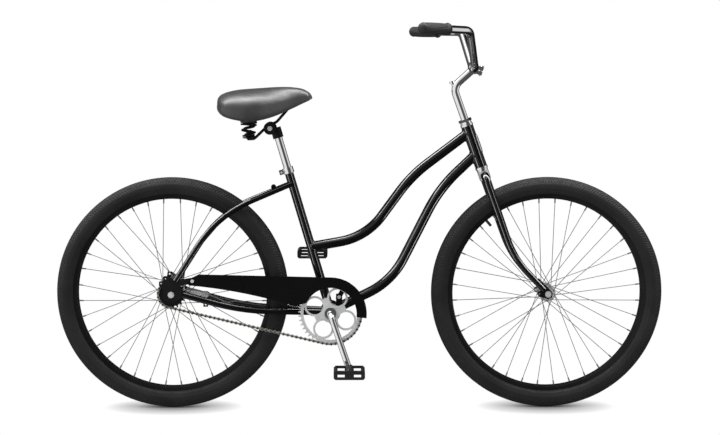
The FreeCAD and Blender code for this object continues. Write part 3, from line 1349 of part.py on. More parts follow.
def chain_links():
    """The two kinds of link: rollers between inner plates, and pins through outer plates."""
    inner_face = mm.chain_inner_width / 2
    outer_face = inner_face + mm.chain_plate_thickness + mm.chain_play
    pin_end = outer_face + mm.chain_plate_thickness + mm.chain_play
    rollers = chain_pins(mm.roller_diameter / 2, inner_face + mm.chain_plate_thickness / 2)
    bores = chain_pins(mm.chain_pin_diameter / 2 + mm.chain_play, pin_end)
    inner = rollers[0].multiFuse([rollers[1], chain_plate(inner_face), chain_plate(-inner_face)])
    inner = inner.cut(bores[0]).cut(bores[1])
    pins = chain_pins(mm.chain_pin_diameter / 2, pin_end)
    outer = pins[0].multiFuse([pins[1], chain_plate(outer_face), chain_plate(-outer_face)])
    return inner, outer


def drive_chain():
    """Every link laid between its two rollers on the line round both sprockets."""
    kinds = chain_links()
    links = []
    for number in range(int(mm.chain_links)):
        start = chain_point(FIRST_ROLLER + number)
        end = chain_point(FIRST_ROLLER + number + 1)
        run = end - start
        spare = (run.Length - mm.chain_pitch) / 2
        base = start + run.normalize() * spare + RIGHT * mm.chain_line
        turn = math.degrees(math.atan2(end.z - start.z, end.x - start.x))
        link = kinds[number % 2].copy()
        link.Placement = Placement(base, Rotation(RIGHT, turn))
        links.append(link)
    keep("drive_chain", feature("chain_link_set", Part.makeCompound(links)))


HOLE_ANGLE = math.radians(65.7)
HOLE_RIM = 6.0
RING_BAND = 12.0
WEB_RADIUS = 46.0


def chainring_openings():
    """Four round holes, and a curved triangle between each pair of hole rims and the toothed band."""
    circle = mm.chainring_hole_circle
    hole = mm.chainring_hole_diameter / 2
    rim_radius = hole + HOLE_RIM
    band = RING_RADIUS - RING_BAND

    def gap(reach):
        """Angle from the middle of a triangle to the hole rim, at a distance from the centre."""
        return math.pi / 4 - math.acos((reach ** 2 + circle ** 2 - rim_radius ** 2) / (2 * reach * circle))

    def spot(reach, angle):
        return Vector(reach * math.cos(angle), reach * math.sin(angle), 0)

    shapes = [[Part.Circle(ORIGIN, UP, mm.crank_spindle_diameter / 2 + PRESS_PLAY)]]
    waist = (band + WEB_RADIUS) / 2
    for quarter in range(4):
        hole_turn = HOLE_ANGLE + quarter * math.pi / 2
        shapes.append([Part.Circle(spot(circle, hole_turn), UP, hole)])
        turn = hole_turn + math.pi / 4
        corners = [spot(band, turn - gap(band)), spot(band, turn + gap(band)),
                   spot(WEB_RADIUS, turn + gap(WEB_RADIUS)), spot(WEB_RADIUS, turn - gap(WEB_RADIUS))]
        shapes.append([Part.Arc(corners[0], spot(band, turn), corners[1]),
                       Part.Arc(corners[1], spot(waist, turn + gap(waist)), corners[2]),
                       Part.Arc(corners[2], spot(WEB_RADIUS, turn), corners[3]),
                       Part.Arc(corners[3], spot(waist, turn - gap(waist)), corners[0])])
    return shapes


DRIVER_FLANGE = 2
DRIVER_FLANGE_WIDTH = 3


def sprockets():
    ring_phase = UPPER_NORMAL - FIRST_ROLLER * RING_STEP
    edges = toothed(mm.chainring_teeth, RING_RADIUS, ring_phase)
    keep("chainring", sprocket_body("chainring_body", edges, BRACKET, chainring_openings()))
    before_cog = RING_WRAP + STRAIGHT_RUN
    first_on_cog = math.ceil(before_cog - FIRST_ROLLER) + FIRST_ROLLER
    cog_phase = LOWER_NORMAL - (first_on_cog - before_cog) * COG_STEP
    edges = toothed(mm.sprocket_teeth, COG_RADIUS, cog_phase)
    bore = [[Part.Circle(ORIGIN, UP, SPROCKET_BORE + PRESS_PLAY)]]
    cog = sprocket_body("sprocket_body", edges, REAR_AXLE, bore)
    # the driver carries the sprocket and reaches into the hub's right mouth
    axle = size.rear_axle_diameter / 2 + size.sliding_play
    inner_end = -(size.rear_flange_spacing / 2 - BRAKE_CAP_DEPTH + 1)
    outer_end = -size.chain_line - DRIVER_LIP
    near = -size.chain_line - size.sprocket_thickness / 2 - PRESS_PLAY
    far = -size.chain_line + size.sprocket_thickness / 2 + PRESS_PLAY
    seat = fixed(SPROCKET_BORE)
    lip = seat + DRIVER_FLANGE
    back = far + DRIVER_FLANGE_WIDTH
    corners = [(axle, outer_end), (lip, outer_end), (lip, near), (seat, near), (seat, far), (lip, far),
               (lip, back),
               (DRIVER_WALL, back), (DRIVER_WALL, inner_end), (axle, inner_end)]
    driver = turned("hub_driver", corners, REAR_AXLE, LEFT)
    keep("rear_sprocket", group("sprocket_and_driver", cog, driver))


ARM = Vector(math.cos(math.radians(mm.crank_angle)), 0, math.sin(math.radians(mm.crank_angle)))
RIGHT_EYE = BRACKET + ARM * mm.crank_length + RIGHT * (mm.crank_right_reach + mm.crank_flare)
LEFT_EYE = BRACKET - ARM * mm.crank_length + LEFT * (mm.crank_left_reach + mm.crank_flare)
SPINDLE_OVERHANG = 10
CRANK_SHOULDER = 6
CRANK_SHOULDER_WIDTH = fixed(6)


def crank():
    """One bent rod: an arm each side of a straight spindle, with an eye for each pedal."""
    route = [RIGHT_EYE, BRACKET + RIGHT * mm.crank_right_reach, BRACKET + LEFT * mm.crank_left_reach,
             LEFT_EYE]
    rod = bar("crank_rod", route, (mm.crank_bend, mm.crank_bend), size.crank_rod_diameter)
    chain_face = size.chain_line + size.sprocket_thickness / 2
    left_end = size.bottom_bracket_width / 2 + SPINDLE_OVERHANG
    spindle = cylinder("crank_spindle", size.crank_spindle_diameter / 2, chain_face + left_end,
                       BRACKET + RIGHT * float(chain_face), LEFT)
    shoulder = cylinder("crank_shoulder", size.crank_spindle_diameter / 2 + CRANK_SHOULDER,
                        CRANK_SHOULDER_WIDTH,
                        BRACKET + RIGHT * float(chain_face), RIGHT)
    pieces = [rod, spindle, shoulder]
    holes = []
    for word, eye in (("right", RIGHT_EYE), ("left", LEFT_EYE)):
        base = eye + RIGHT * mm.crank_eye_thickness / 2
        pieces.append(cylinder(f"{word}_eye", size.crank_eye_diameter / 2, size.crank_eye_thickness, base,
                               LEFT))
        holes.append(cylinder(f"{word}_eye_hole", size.pedal_thread_diameter / 2,
                              size.crank_eye_thickness * 2,
                              eye + RIGHT * mm.crank_eye_thickness, LEFT))
    keep("crank", cut("crank_cut", fuse("crank_whole", *pieces), *holes))


PEDAL_GAP = 4.0
PEDAL_COLLAR = 2
PEDAL_COLLAR_LENGTH = fixed(3.5)
PEDAL_END_WALL = 6
PEDAL_BEVEL = 5.0
PEDAL_FRONT_WALL = 8
PEDAL_SIDE_WALL = 10
PEDAL_WEB = 1
PEDAL_WINDOW_LENGTH = fixed(20)
PEDAL_WINDOW_PLACE = 23
PEDAL_WINDOW_WALL = 6.5


def pedals():
    spindles = []
    for word, side, eye in (("right", -1, RIGHT_EYE), ("left", 1, LEFT_EYE)):
        outward = LEFT * side
        face = eye + outward * mm.crank_eye_thickness / 2
        thread = size.pedal_thread_diameter / 2
        shank = cylinder(f"{word}_shank", thread - PRESS_PLAY, size.crank_eye_thickness,
                         eye - outward * mm.crank_eye_thickness / 2, outward)
        collar = cylinder(f"{word}_collar", thread + PEDAL_COLLAR, PEDAL_COLLAR_LENGTH, face, outward)
        shaft = cylinder(f"{word}_shaft", size.pedal_shaft_diameter / 2,
                         size.pedal_width + PEDAL_GAP - PEDAL_END_WALL, face, outward)
        spindles.append(fuse(f"{word}_spindle", shank, collar, shaft))
        keep(f"{word}_pedal", pedal(word, side, eye, face + outward * PEDAL_GAP))
    keep("pedal_spindles", group("pedal_spindle_pair", *spindles))


def pedal(word, side, eye, inner_face):
    """A level platform with bevelled edges round a barrel, open above and below and at both ends."""
    half = mm.pedal_length / 2
    tall = mm.pedal_thickness / 2
    flat = half - PEDAL_BEVEL
    wall = tall - PEDAL_BEVEL
    outline = [(half, -wall), (half, wall), (flat, tall), (-flat, tall), (-half, wall), (-half, -wall),
               (-flat, -tall), (flat, -tall)]
    outline = [(eye.x + across, eye.z + above) for across, above in outline]
    near_face = min(inner_face.y, inner_face.y + side * mm.pedal_width)
    platform = plate(f"{word}_platform", outline, size.pedal_width, near_face)
    middle = Vector(eye.x, inner_face.y + side * mm.pedal_width / 2, eye.z)
    openings = []
    barrel = mm.pedal_barrel_diameter / 2
    room = half - barrel - PEDAL_FRONT_WALL
    for word_x, across in (("ahead", 1), ("behind", -1)):
        centre = middle + Vector(across * (barrel + room / 2 - PEDAL_WEB), 0, 0)
        openings.append(block(f"{word}_well_{word_x}", fixed(room), size.pedal_width - PEDAL_SIDE_WALL * 2,
                              size.pedal_thickness * 2, centre))
        openings.append(block(f"{word}_window_{word_x}", PEDAL_WINDOW_LENGTH, size.pedal_width * 2,
                              size.pedal_thickness - PEDAL_WINDOW_WALL * 2,
                              middle + Vector(across * PEDAL_WINDOW_PLACE, 0, 0)))
    bore = cylinder(f"{word}_pedal_bore", size.pedal_shaft_diameter / 2 + size.sliding_play,
                    size.pedal_width - PEDAL_END_WALL + PLAY_AT_END, inner_face, LEFT * side)
    return cut(f"{word}_pedal_cut", platform, *openings, bore)


GUARD_PLAY = 0.2
GUARD_FACE = -(DROPOUT_FACE + mm.dropout_thickness + GUARD_PLAY)
GUARD_FRONT = math.radians(-7)
GUARD_REAR = math.radians(155)
GUARD_TAIL_TOP = (77, 58)
GUARD_TAIL_UPPER = (52, 46)
GUARD_TAIL_LOWER = (50, 27.5)
GUARD_TIP = (-101, 22)
GUARD_BELLY = (-223, 54.5)
STRAP_WIDTH = fixed(14)
STRAP_GAUGE = 2
STRAP_TAIL = 9
STRAP_GAP = 0.3
SHELF_GAUGE = 1.5


def chain_guard():
    """A sheet along the chain's top run and round the front of the chainring, with a flange over its top."""
    inner = mm.guard_inner_radius
    outer = mm.guard_outer_radius

    def spot(radius, angle):
        return BRACKET.x + radius * math.cos(angle), BRACKET.z + radius * math.sin(angle)

    def moved(point, step):
        return point.x + step[0], point.z + step[1]

    tail_top = moved(REAR_AXLE, GUARD_TAIL_TOP)
    crest = spot(outer, math.pi / 2)
    nose = spot(outer, GUARD_FRONT) + spot(outer, math.pi / 4)
    steps = [crest, nose, spot(inner, GUARD_FRONT), spot(inner, GUARD_REAR) + spot(inner, math.pi / 2),
             moved(BRACKET, GUARD_TIP), moved(REAR_AXLE, GUARD_TAIL_LOWER) + moved(BRACKET, GUARD_BELLY),
             moved(REAR_AXLE, GUARD_TAIL_UPPER), tail_top]
    bolt_hole = moved(REAR_AXLE, (GUARD_BOLT.x, GUARD_BOLT.z)) + (mm.eyelet_diameter / 2 + mm.sliding_play,)
    near_face = GUARD_FACE - mm.guard_gauge
    sheet_plate = plate("guard_sheet", steps, size.guard_gauge, near_face, [bolt_hole])
    thin = outer - mm.guard_gauge
    tail_under = (tail_top[0], tail_top[1] - mm.guard_gauge)
    steps = [crest, nose, spot(thin, GUARD_FRONT), spot(thin, math.pi / 2) + spot(thin, math.pi / 4),
             tail_under,
             tail_top]
    flange = plate("guard_flange", steps, size.guard_flange_width, near_face)
    along = Vector(GUARD_TAB.x, 0, GUARD_TAB.z)
    strap_low = along.Length - STRAP_TAIL
    along.normalize()
    turn = Rotation(UP, along)
    strap_face = -GUARD_TAB.y + GUARD_PLAY
    strap_top = thin - STRAP_GAP
    strap = block("guard_strap", STRAP_WIDTH, fixed(STRAP_GAUGE), fixed(strap_top - strap_low),
                  BRACKET + along * ((strap_top + strap_low) / 2) + RIGHT * (strap_face + STRAP_GAUGE / 2),
                  turn)
    reach = -GUARD_FACE - strap_face
    shelf = block("guard_shelf", STRAP_WIDTH, fixed(reach), fixed(SHELF_GAUGE),
                  BRACKET + along * (strap_top - SHELF_GAUGE / 2) + RIGHT * (strap_face + reach / 2), turn)
    hole = cylinder("guard_strap_hole", size.eyelet_diameter / 2 + size.sliding_play, DEEP_HOLE,
                    BRACKET + GUARD_TAB + RIGHT * float(DEEP_HOLE) / 4, LEFT)
    keep("chain_guard", cut("guard_cut", fuse("guard_whole", sheet_plate, flange, strap, shelf), hole))


CLIP_GAUGE = 1.6
CLIP_PLAY = 0.1
CLIP_WIDTH = 14
CLIP_TAB_HEIGHT = fixed(46)
CLIP_TAB_DROP = 13
CLIP_HOLE_DROPS = (0, 18, 29)
ARM_SCREW_LENGTH = 4.9
ARM_SCREW_HEAD = 3.5
GUARD_SCREW_LENGTH = 8.5
GUARD_SCREW_HEAD = 2.5
GUARD_SCREW_PLAY = 0.1


def brake_clip_and_bolts(seat_bolt):
    """The clip that ties the brake arm to the left chain stay, and the frame's screws."""
    stay_end = from_rear(*CHAIN_STAY_START, STAY_REACH)
    along = (from_bracket(*CHAIN_STAY_KNEE) - stay_end).normalize()
    arm_end = REAR_AXLE + BRAKE_ARM_END
    middle = stay_end + along * ((arm_end.x - stay_end.x) / along.x)
    room = size.chain_stay_outer / 2 + CLIP_PLAY
    band = ring("clip_band", room + CLIP_GAUGE, room, fixed(CLIP_WIDTH), middle - along * (CLIP_WIDTH / 2),
                along)
    tab_face = BRAKE_ARM_FACE + float(BRAKE_ARM_GAUGE) + CLIP_PLAY
    tab = block("clip_tab", fixed(CLIP_WIDTH), fixed(CLIP_GAUGE), CLIP_TAB_HEIGHT,
                arm_end + Vector(0, tab_face + CLIP_GAUGE / 2, -CLIP_TAB_DROP))
    stay = cylinder("clip_stay_room", room, DEEP_HOLE, middle - along * (float(DEEP_HOLE) / 2), along)
    holes = []
    for number, drop in enumerate(CLIP_HOLE_DROPS):
        holes.append(cylinder(f"clip_hole_{number}", BRAKE_SCREW_HOLE, fixed(CLIP_WIDTH),
                              arm_end + Vector(0, BRAKE_ARM_FACE, -drop), LEFT))
    keep("brake_arm_clip", cut("clip_cut", fuse("clip_whole", band, tab), stay, *holes))
    arm_screw = bolt("arm_screw", ARM_SCREW_LENGTH, arm_end + LEFT * BRAKE_ARM_FACE, LEFT, CLAMP_BOLT_RADIUS,
                     CLAMP_HEAD_RADIUS, ARM_SCREW_HEAD)
    screws = []
    guard_faces = (("rear", REAR_AXLE + GUARD_BOLT + LEFT * (GUARD_FACE - mm.guard_gauge)),
                   ("front", BRACKET + GUARD_TAB + RIGHT * (STRAP_GAUGE + GUARD_PLAY + CLIP_PLAY)))
    for word, spot in guard_faces:
        screws.append(bolt(f"guard_{word}_screw", GUARD_SCREW_LENGTH, spot, LEFT,
                           mm.eyelet_diameter / 2 - GUARD_SCREW_PLAY, CLAMP_HEAD_RADIUS, GUARD_SCREW_HEAD))
    keep("frame_bolts", group("frame_bolt_set", seat_bolt, arm_screw, *screws))


# Seat.

POST_TOP = BRACKET + SEAT * mm.seatpost_top
POST_WALL = 2
TILT_AXIS = POST_TOP + Vector(-15, 0, -1)
SPRING_FOOT = TILT_AXIS + Vector(-61, 0, -29)
SLEEVE_WALL = 4.0
SLEEVE_HEIGHT = 30.0
CLAMP_HALF = mm.seatpost_diameter / 2 + SLEEVE_WALL + 0.4
BARREL_RADIUS = 12.0
JAW_RADIUS = 18.0
JAW_THICKNESS = 13.0
JAW_FACE = CLAMP_HALF + mm.sliding_play
SADDLE_BOLT_RADIUS = 4.0
SADDLE_NUT_WIDTH = 13.0
SADDLE_NUT_HEIGHT = 6.0
SADDLE_BOLT_OVERHANG = 2
RAIL_NOSE = (52, 12, 56)
RAIL_SLOPE = (18, 17)
RAIL_LOW = (-8, 6)
RAIL_TURN = (17, 14)
RAIL_BENDS = (26, 60, 15)
SEAT_DISC_RADIUS = 15.0
SEAT_DISC_LOW = 2.0
SEAT_DISC_TOP = 5.0
SPRING_POST_RADIUS = 5.0
SPRING_POST_TOP = 22.0
SPRING_PLAY = 0.3
COIL_BASE = SEAT_DISC_TOP + SPRING_PLAY
PAD_BASE = COIL_BASE + mm.spring_height + SPRING_PLAY
PAD_HEIGHT = 16.0


def rail_route(side):
    """A saddle rail: from the nose down through the clamp, then back and out to its spring."""
    half = side * mm.saddle_rail_spacing / 2
    rear = side * mm.spring_spacing / 2
    nose_ahead, nose_across, nose_above = RAIL_NOSE
    return [TILT_AXIS + Vector(nose_ahead, side * nose_across, nose_above),
            TILT_AXIS + Vector(RAIL_SLOPE[0], half, RAIL_SLOPE[1]),
            TILT_AXIS + Vector(RAIL_LOW[0], half, RAIL_LOW[1]),
            SPRING_FOOT + Vector(RAIL_TURN[0], rear - side * RAIL_TURN[1], 0), SPRING_FOOT + LEFT * rear]


def seat_parts():
    """The post with its clamp head, and the rails with jaws that tilt on the cross bolt."""
    keep("seatpost", ring("seatpost_tube", size.seatpost_diameter / 2, size.seatpost_diameter / 2 - POST_WALL,
                          size.seatpost_top - size.seatpost_bottom, BRACKET + SEAT * mm.seatpost_bottom,
                          SEAT))
    sleeve_foot = POST_TOP - SEAT * SLEEVE_HEIGHT
    sleeve = cylinder("clamp_sleeve", size.seatpost_diameter / 2 + SLEEVE_WALL, fixed(SLEEVE_HEIGHT),
                      sleeve_foot,
                      SEAT)
    barrel = cylinder("clamp_barrel", fixed(BARREL_RADIUS), fixed(CLAMP_HALF * 2),
                      TILT_AXIS + RIGHT * CLAMP_HALF,
                      LEFT)
    post_bore = cylinder("clamp_bore", size.seatpost_diameter / 2 + PRESS_PLAY, fixed(SLEEVE_HEIGHT * 2),
                         sleeve_foot - SEAT * SLEEVE_HEIGHT / 2, SEAT)
    jaw_end = JAW_FACE + JAW_THICKNESS
    hole_start = TILT_AXIS + RIGHT * jaw_end
    bolt_hole = cylinder("clamp_bolt_hole", fixed(SADDLE_BOLT_RADIUS + mm.sliding_play), fixed(jaw_end * 2),
                         hole_start, LEFT)
    keep("saddle_clamp", cut("clamp_cut", fuse("clamp_whole", sleeve, barrel), post_bore, bolt_hole))
    jaw_hole = cylinder("jaw_bolt_hole", fixed(SADDLE_BOLT_RADIUS + PRESS_PLAY), fixed(jaw_end * 2),
                        hole_start, LEFT)
    rails = []
    jaws = []
    nuts = []
    for word, side in SIDES:
        outward = LEFT * side
        route = rail_route(side)
        rail = bar(f"{word}_rail_bar", route, RAIL_BENDS, size.saddle_rail_diameter)
        room = bar(f"{word}_rail_room", route, RAIL_BENDS, size.saddle_rail_diameter + 2 * PRESS_PLAY)
        foot = SPRING_FOOT + outward * mm.spring_spacing / 2
        disc = cylinder(f"{word}_spring_seat", fixed(SEAT_DISC_RADIUS), fixed(SEAT_DISC_TOP - SEAT_DISC_LOW),
                        foot + UP * SEAT_DISC_LOW)
        post = cylinder(f"{word}_spring_post", fixed(SPRING_POST_RADIUS), fixed(SPRING_POST_TOP), foot)
        rails.append(fuse(f"{word}_rail", rail, disc, post))
        jaw = cylinder(f"{word}_jaw_blank", fixed(JAW_RADIUS), fixed(JAW_THICKNESS),
                       TILT_AXIS + outward * JAW_FACE,
                       outward)
        jaws.append(cut(f"{word}_jaw", jaw, room, jaw_hole))
        nuts.append(hexagon(f"{word}_saddle_nut", fixed(SADDLE_NUT_WIDTH), fixed(SADDLE_NUT_HEIGHT),
                            TILT_AXIS + outward * (jaw_end + PRESS_PLAY), outward))
    keep("saddle_rails", group("rail_pair", *rails))
    keep("saddle_jaws", group("jaw_pair", *jaws))
    shank_half = jaw_end + SADDLE_NUT_HEIGHT + SADDLE_BOLT_OVERHANG
    shank = cylinder("saddle_bolt_shank", fixed(SADDLE_BOLT_RADIUS), fixed(shank_half * 2),
                     TILT_AXIS + RIGHT * shank_half, LEFT)
    keep("saddle_bolt", fuse("saddle_bolt_whole", shank, *nuts))


SADDLE_STATIONS = (
    # behind the tilt axis, half width, top and bottom edge above the tilt axis
    (-149, 58, 88, 47), (-143, 84, 94, 42), (-128, 106, 102, 31), (-102, 119, 109, 22), (-62, 122, 112, 15),
    (-24, 110, 114, 20), (16, 80, 117, 33), (56, 50, 118, 51), (91, 34, 114, 68), (111, 24, 104, 77),
    (120, 12, 93, 83),
)


UNDERSIDE_SHARE = 0.82
SHOULDER_SHARE = 0.80
SHOULDER_RISE = 0.82
WIDEST_RISE = 0.45
ARCH_SHARE = 0.2
ARCH_LIMIT = 12.0


def saddle_section(along, half, top, bottom):
    """A crowned section: flat-sided below, swelling to its widest and drawn in to the underside."""
    rise = top - bottom
    lower = half * UNDERSIDE_SHARE
    shoulder = half * SHOULDER_SHARE
    shoulder_height = rise * SHOULDER_RISE
    widest = rise * WIDEST_RISE
    x = TILT_AXIS.x + along
    base = TILT_AXIS.z + bottom

    def spot(across, above):
        return Vector(x, across, base + above)

    arch = min(ARCH_LIMIT, rise * ARCH_SHARE)
    edges = [Part.Arc(spot(-lower, 0), spot(0, arch), spot(lower, 0)),
             Part.Arc(spot(lower, 0), spot(half, widest), spot(shoulder, shoulder_height)),
             Part.Arc(spot(shoulder, shoulder_height), spot(0, rise), spot(-shoulder, shoulder_height)),
             Part.Arc(spot(-shoulder, shoulder_height), spot(-half, widest), spot(-lower, 0))]
    return Part.Wire([edge.toShape() for edge in edges])


def saddle_top():
    cover = Part.makeLoft([saddle_section(*station) for station in SADDLE_STATIONS], True, False)
    pads = []
    for side in (-1, 1):
        base = SPRING_FOOT + Vector(0, side * mm.spring_spacing / 2, PAD_BASE)
        pads.append(Part.makeCylinder((mm.spring_mean_diameter + mm.spring_wire) / 2, PAD_HEIGHT, base, UP))
    keep("saddle_top", feature("saddle_cover", cover.multiFuse(pads)))


def biarc(start, heading, end, arrival):
    """Two tangent arcs from one point and direction to another."""
    span = end - start
    both = heading + arrival
    square = 2 * (heading.dot(arrival) - 1)
    linear = -2 * span.dot(both)
    constant = span.dot(span)
    reach = (-linear - math.sqrt(linear ** 2 - 4 * square * constant)) / (2 * square)
    if reach < 0:
        reach = (-linear + math.sqrt(linear ** 2 - 4 * square * constant)) / (2 * square)
    first = start + heading * reach
    second = end - arrival * reach
    joint = (first + second) * 0.5
    arcs = []
    for begin, corner, finish in ((start, first, joint), (joint, second, end)):
        middle = (begin + finish) * 0.5
        lean = corner - middle
        half_chord = begin.distanceToPoint(finish) / 2
        bulge = half_chord * math.tan(math.atan2(lean.Length, half_chord) / 2)
        arcs.append(Part.Arc(begin, middle + lean.normalize() * bulge, finish).toShape())
    return arcs


SPRING_TAPER = 7.0


def spring_point(turn, side):
    """A point of the coil and its direction: a helix with flat ends that widens upwards from its foot."""
    total = mm.spring_turns
    low = mm.spring_mean_diameter / 2 - SPRING_TAPER
    share = turn / total
    radius = low + SPRING_TAPER * math.sin(share * math.pi / 2)
    widening = SPRING_TAPER * math.cos(share * math.pi / 2) * math.pi / 2 / total
    rise = mm.spring_height - mm.spring_wire
    height = rise * (share - math.sin(2 * math.pi * share) / (2 * math.pi))
    climb = rise * (1 - math.cos(2 * math.pi * share)) / total
    angle = 2 * math.pi * turn * side
    base = SPRING_FOOT + Vector(0, side * mm.spring_spacing / 2, COIL_BASE + mm.spring_wire / 2)
    point = base + Vector(radius * math.cos(angle), radius * math.sin(angle), height)
    swing = 2 * math.pi * side * radius
    heading = Vector(widening * math.cos(angle) - swing * math.sin(angle),
                     widening * math.sin(angle) + swing * math.cos(angle), climb)
    return point, heading.normalize()


def saddle_springs():
    """Two coils, each one unbroken wire on biarcs of a quarter turn."""
    coils = []
    for side in (-1, 1):
        edges = []
        steps = int(mm.spring_turns) * 4
        start, heading = spring_point(0, side)
        edges.append(Part.LineSegment(start - heading * mm.spring_wire, start).toShape())
        for step in range(steps):
            end, arrival = spring_point((step + 1) / 4, side)
            edges += biarc(start, heading, end, arrival)
            start, heading = end, arrival
        edges.append(Part.LineSegment(start, start + heading * mm.spring_wire).toShape())
        wire = Part.Wire(edges)
        first, course = spring_point(0, side)
        circle = Part.Wire(Part.Circle(first - course * mm.spring_wire, course, mm.spring_wire / 2).toShape())
        coils.append(wire.makePipeShell([circle], True, False))
    print("least gap between a spring's turns:", round(spring_gap(), 2), "mm")
    keep("saddle_springs", feature("spring_pair", Part.makeCompound(coils)))


def spring_gap():
    """The least distance between the wire's surface and itself, from half a turn away onwards."""
    samples = 48
    count = int(mm.spring_turns) * samples
    points = [spring_point(number / samples, 1)[0] for number in range(count + 1)]
    least = min(points[first].distanceToPoint(points[second])
                for first in range(count + 1) for second in range(first + samples // 2, count + 1))
    return least - mm.spring_wire


def build():
    blanks = frame_tubes()
    skins = rear_triangle(blanks)
    bridges(blanks, skins)
    seat_bolt = seat_clamp()
    headset()
    crank_bearings()
    bearing_balls()
    fork()
    stem()
    handlebar()
    front_wheel()
    rear_wheel()
    drive_chain()
    sprockets()
    crank()
    pedals()
    chain_guard()
    brake_clip_and_bolts(seat_bolt)
    seat_parts()
    saddle_top()
    saddle_springs()
    doc.recompute()


def check_and_write():
    """Stops on any failed object or bad shape, then writes every sub-part."""
    for item in doc.Objects:
        if {"Invalid", "Error"} & set(item.State):
            raise RuntimeError(f"{item.Name} failed: {item.State}")
    for label, item in parts.items():
        if item.Shape.isNull() or not item.Shape.isValid() or not item.Shape.Solids:
            raise RuntimeError(f"{label} has no valid solid")
    os.makedirs("parts", exist_ok=True)
    for label, item in parts.items():
        item.Shape.exportStep(f"parts/{label}.step")
    print(len(parts), "sub-parts written")


build()
check_and_write()
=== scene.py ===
"""Looks of the beach cruiser: finishes of its built pieces, and surfaces of its soft and worked ones."""

import json
import logging
import math
from dataclasses import dataclass
from enum import Enum

import bpy
import numpy as np
from numpy.typing import NDArray
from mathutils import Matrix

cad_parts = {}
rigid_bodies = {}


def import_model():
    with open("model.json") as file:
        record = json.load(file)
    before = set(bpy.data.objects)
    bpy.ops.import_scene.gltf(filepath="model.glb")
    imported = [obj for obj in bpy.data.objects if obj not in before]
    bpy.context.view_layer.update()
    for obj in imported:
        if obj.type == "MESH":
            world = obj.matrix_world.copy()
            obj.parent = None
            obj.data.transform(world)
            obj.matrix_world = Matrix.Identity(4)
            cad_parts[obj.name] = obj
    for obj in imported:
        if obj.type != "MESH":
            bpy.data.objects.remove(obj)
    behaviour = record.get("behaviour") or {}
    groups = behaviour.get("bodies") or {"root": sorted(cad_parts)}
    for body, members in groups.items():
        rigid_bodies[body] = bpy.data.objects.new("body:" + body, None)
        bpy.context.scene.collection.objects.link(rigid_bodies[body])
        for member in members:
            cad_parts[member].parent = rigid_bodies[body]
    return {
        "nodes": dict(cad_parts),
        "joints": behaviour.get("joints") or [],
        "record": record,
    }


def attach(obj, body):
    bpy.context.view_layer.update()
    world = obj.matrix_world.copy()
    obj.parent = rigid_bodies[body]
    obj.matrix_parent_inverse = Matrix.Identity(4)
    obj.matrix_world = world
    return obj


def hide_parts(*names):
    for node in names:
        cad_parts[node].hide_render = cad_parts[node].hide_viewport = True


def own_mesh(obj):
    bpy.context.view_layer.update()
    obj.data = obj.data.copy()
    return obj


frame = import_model()

Array = NDArray[np.float64]
Mesh = bpy.types.Mesh
Socket = bpy.types.NodeSocket
Pair = tuple[float, float]
Triple = tuple[float, float, float]
LOG = logging.getLogger("beach_cruiser")
FULL_TURN = 2.0 * math.pi
MILLIMETRE = 0.001

UP = np.array([0.0, 0.0, 1.0])
LEFT = np.array([0.0, 1.0, 0.0])
# seat of the right spring, from the saddle's tilt axis
SPRING_FOOT = np.array([-0.061, -0.052, -0.029])
WHITE: Triple = (1.0, 1.0, 1.0)
BLACK: Triple = (0.0, 0.0, 0.0)


class Slot(Enum):
    """Material slots of the record."""

    FRAME_PAINT = "frame_paint"
    DROPOUT_PAINT = "dropout_paint"
    RIM_PAINT = "rim_paint"
    BRIGHT_CHROME = "bright_chrome"
    CHAINRING_STEEL = "chainring_steel"
    PLAIN_STEEL = "plain_steel"
    SPOKE_STEEL = "spoke_steel"
    CHAIN_STEEL = "chain_steel"
    TYRE_RUBBER = "tyre_rubber"
    TUBE_RUBBER = "tube_rubber"
    GRIP_RUBBER = "grip_rubber"
    PEDAL_PLASTIC = "pedal_plastic"
    SADDLE_VINYL = "saddle_vinyl"


class Body(Enum):
    """Bodies of the record that carry a piece made here."""

    FRAME = "frame"
    HANDLEBAR = "handlebar"
    FRONT_WHEEL = "front_wheel"
    REAR_WHEEL = "rear_wheel"
    SADDLE_FRAME = "saddle_frame"
    SADDLE = "saddle"


class Relief(Enum):
    """Kinds of fine relief."""

    GRAIN = "grain"
    PEBBLE = "pebble"
    BRUSHED = "brushed"


class NodeTree:
    """One node tree, with short ways to add a node and to join it to others."""

    def __init__(self, owner: bpy.types.Material | bpy.types.World) -> None:
        """Empties the tree.

        Args:
            owner: material or world that the tree belongs to.
        """
        owner.use_nodes = True
        self.tree = owner.node_tree
        self.tree.nodes.clear()

    def add(self, kind: str, settings: dict | None = None, **options) -> bpy.types.Node:
        """Adds a node.

        Args:
            kind: class name of the node.
            settings: values of its inputs, or sockets to join to them, by name or number.
            options: its other properties.

        Returns:
            The new node.
        """
        node = self.tree.nodes.new(kind)
        for option, value in options.items():
            setattr(node, option, value)
        for key, value in (settings or {}).items():
            if isinstance(value, Socket):
                self.tree.links.new(value, node.inputs[key])
            else:
                node.inputs[key].default_value = value
        return node

    def math(self, operation: str, *values: Socket | float) -> Socket:
        """Adds a sum, two values at a time.

        Args:
            operation: name of the sum.
            values: sockets or numbers.

        Returns:
            The output socket.
        """
        result = self.add("ShaderNodeMath", dict(enumerate(values[:2])), operation=operation).outputs[0]
        return self.math(operation, result, *values[2:]) if values[2:] else result

    def ramp(self, source: Socket,
             stops: tuple[tuple[float, Triple], ...]) -> Socket:
        """Adds a colour ramp.

        Args:
            source: socket that runs along the ramp.
            stops: places and colours.

        Returns:
            The colour socket.
        """
        node = self.add("ShaderNodeValToRGB", {"Fac": source})
        elements = node.color_ramp.elements
        for place, _ in stops[2:]:
            elements.new(place)
        for element, (place, colour) in zip(elements, stops):
            element.position = place
            element.color = (*colour, 1.0)
        return node.outputs["Color"]


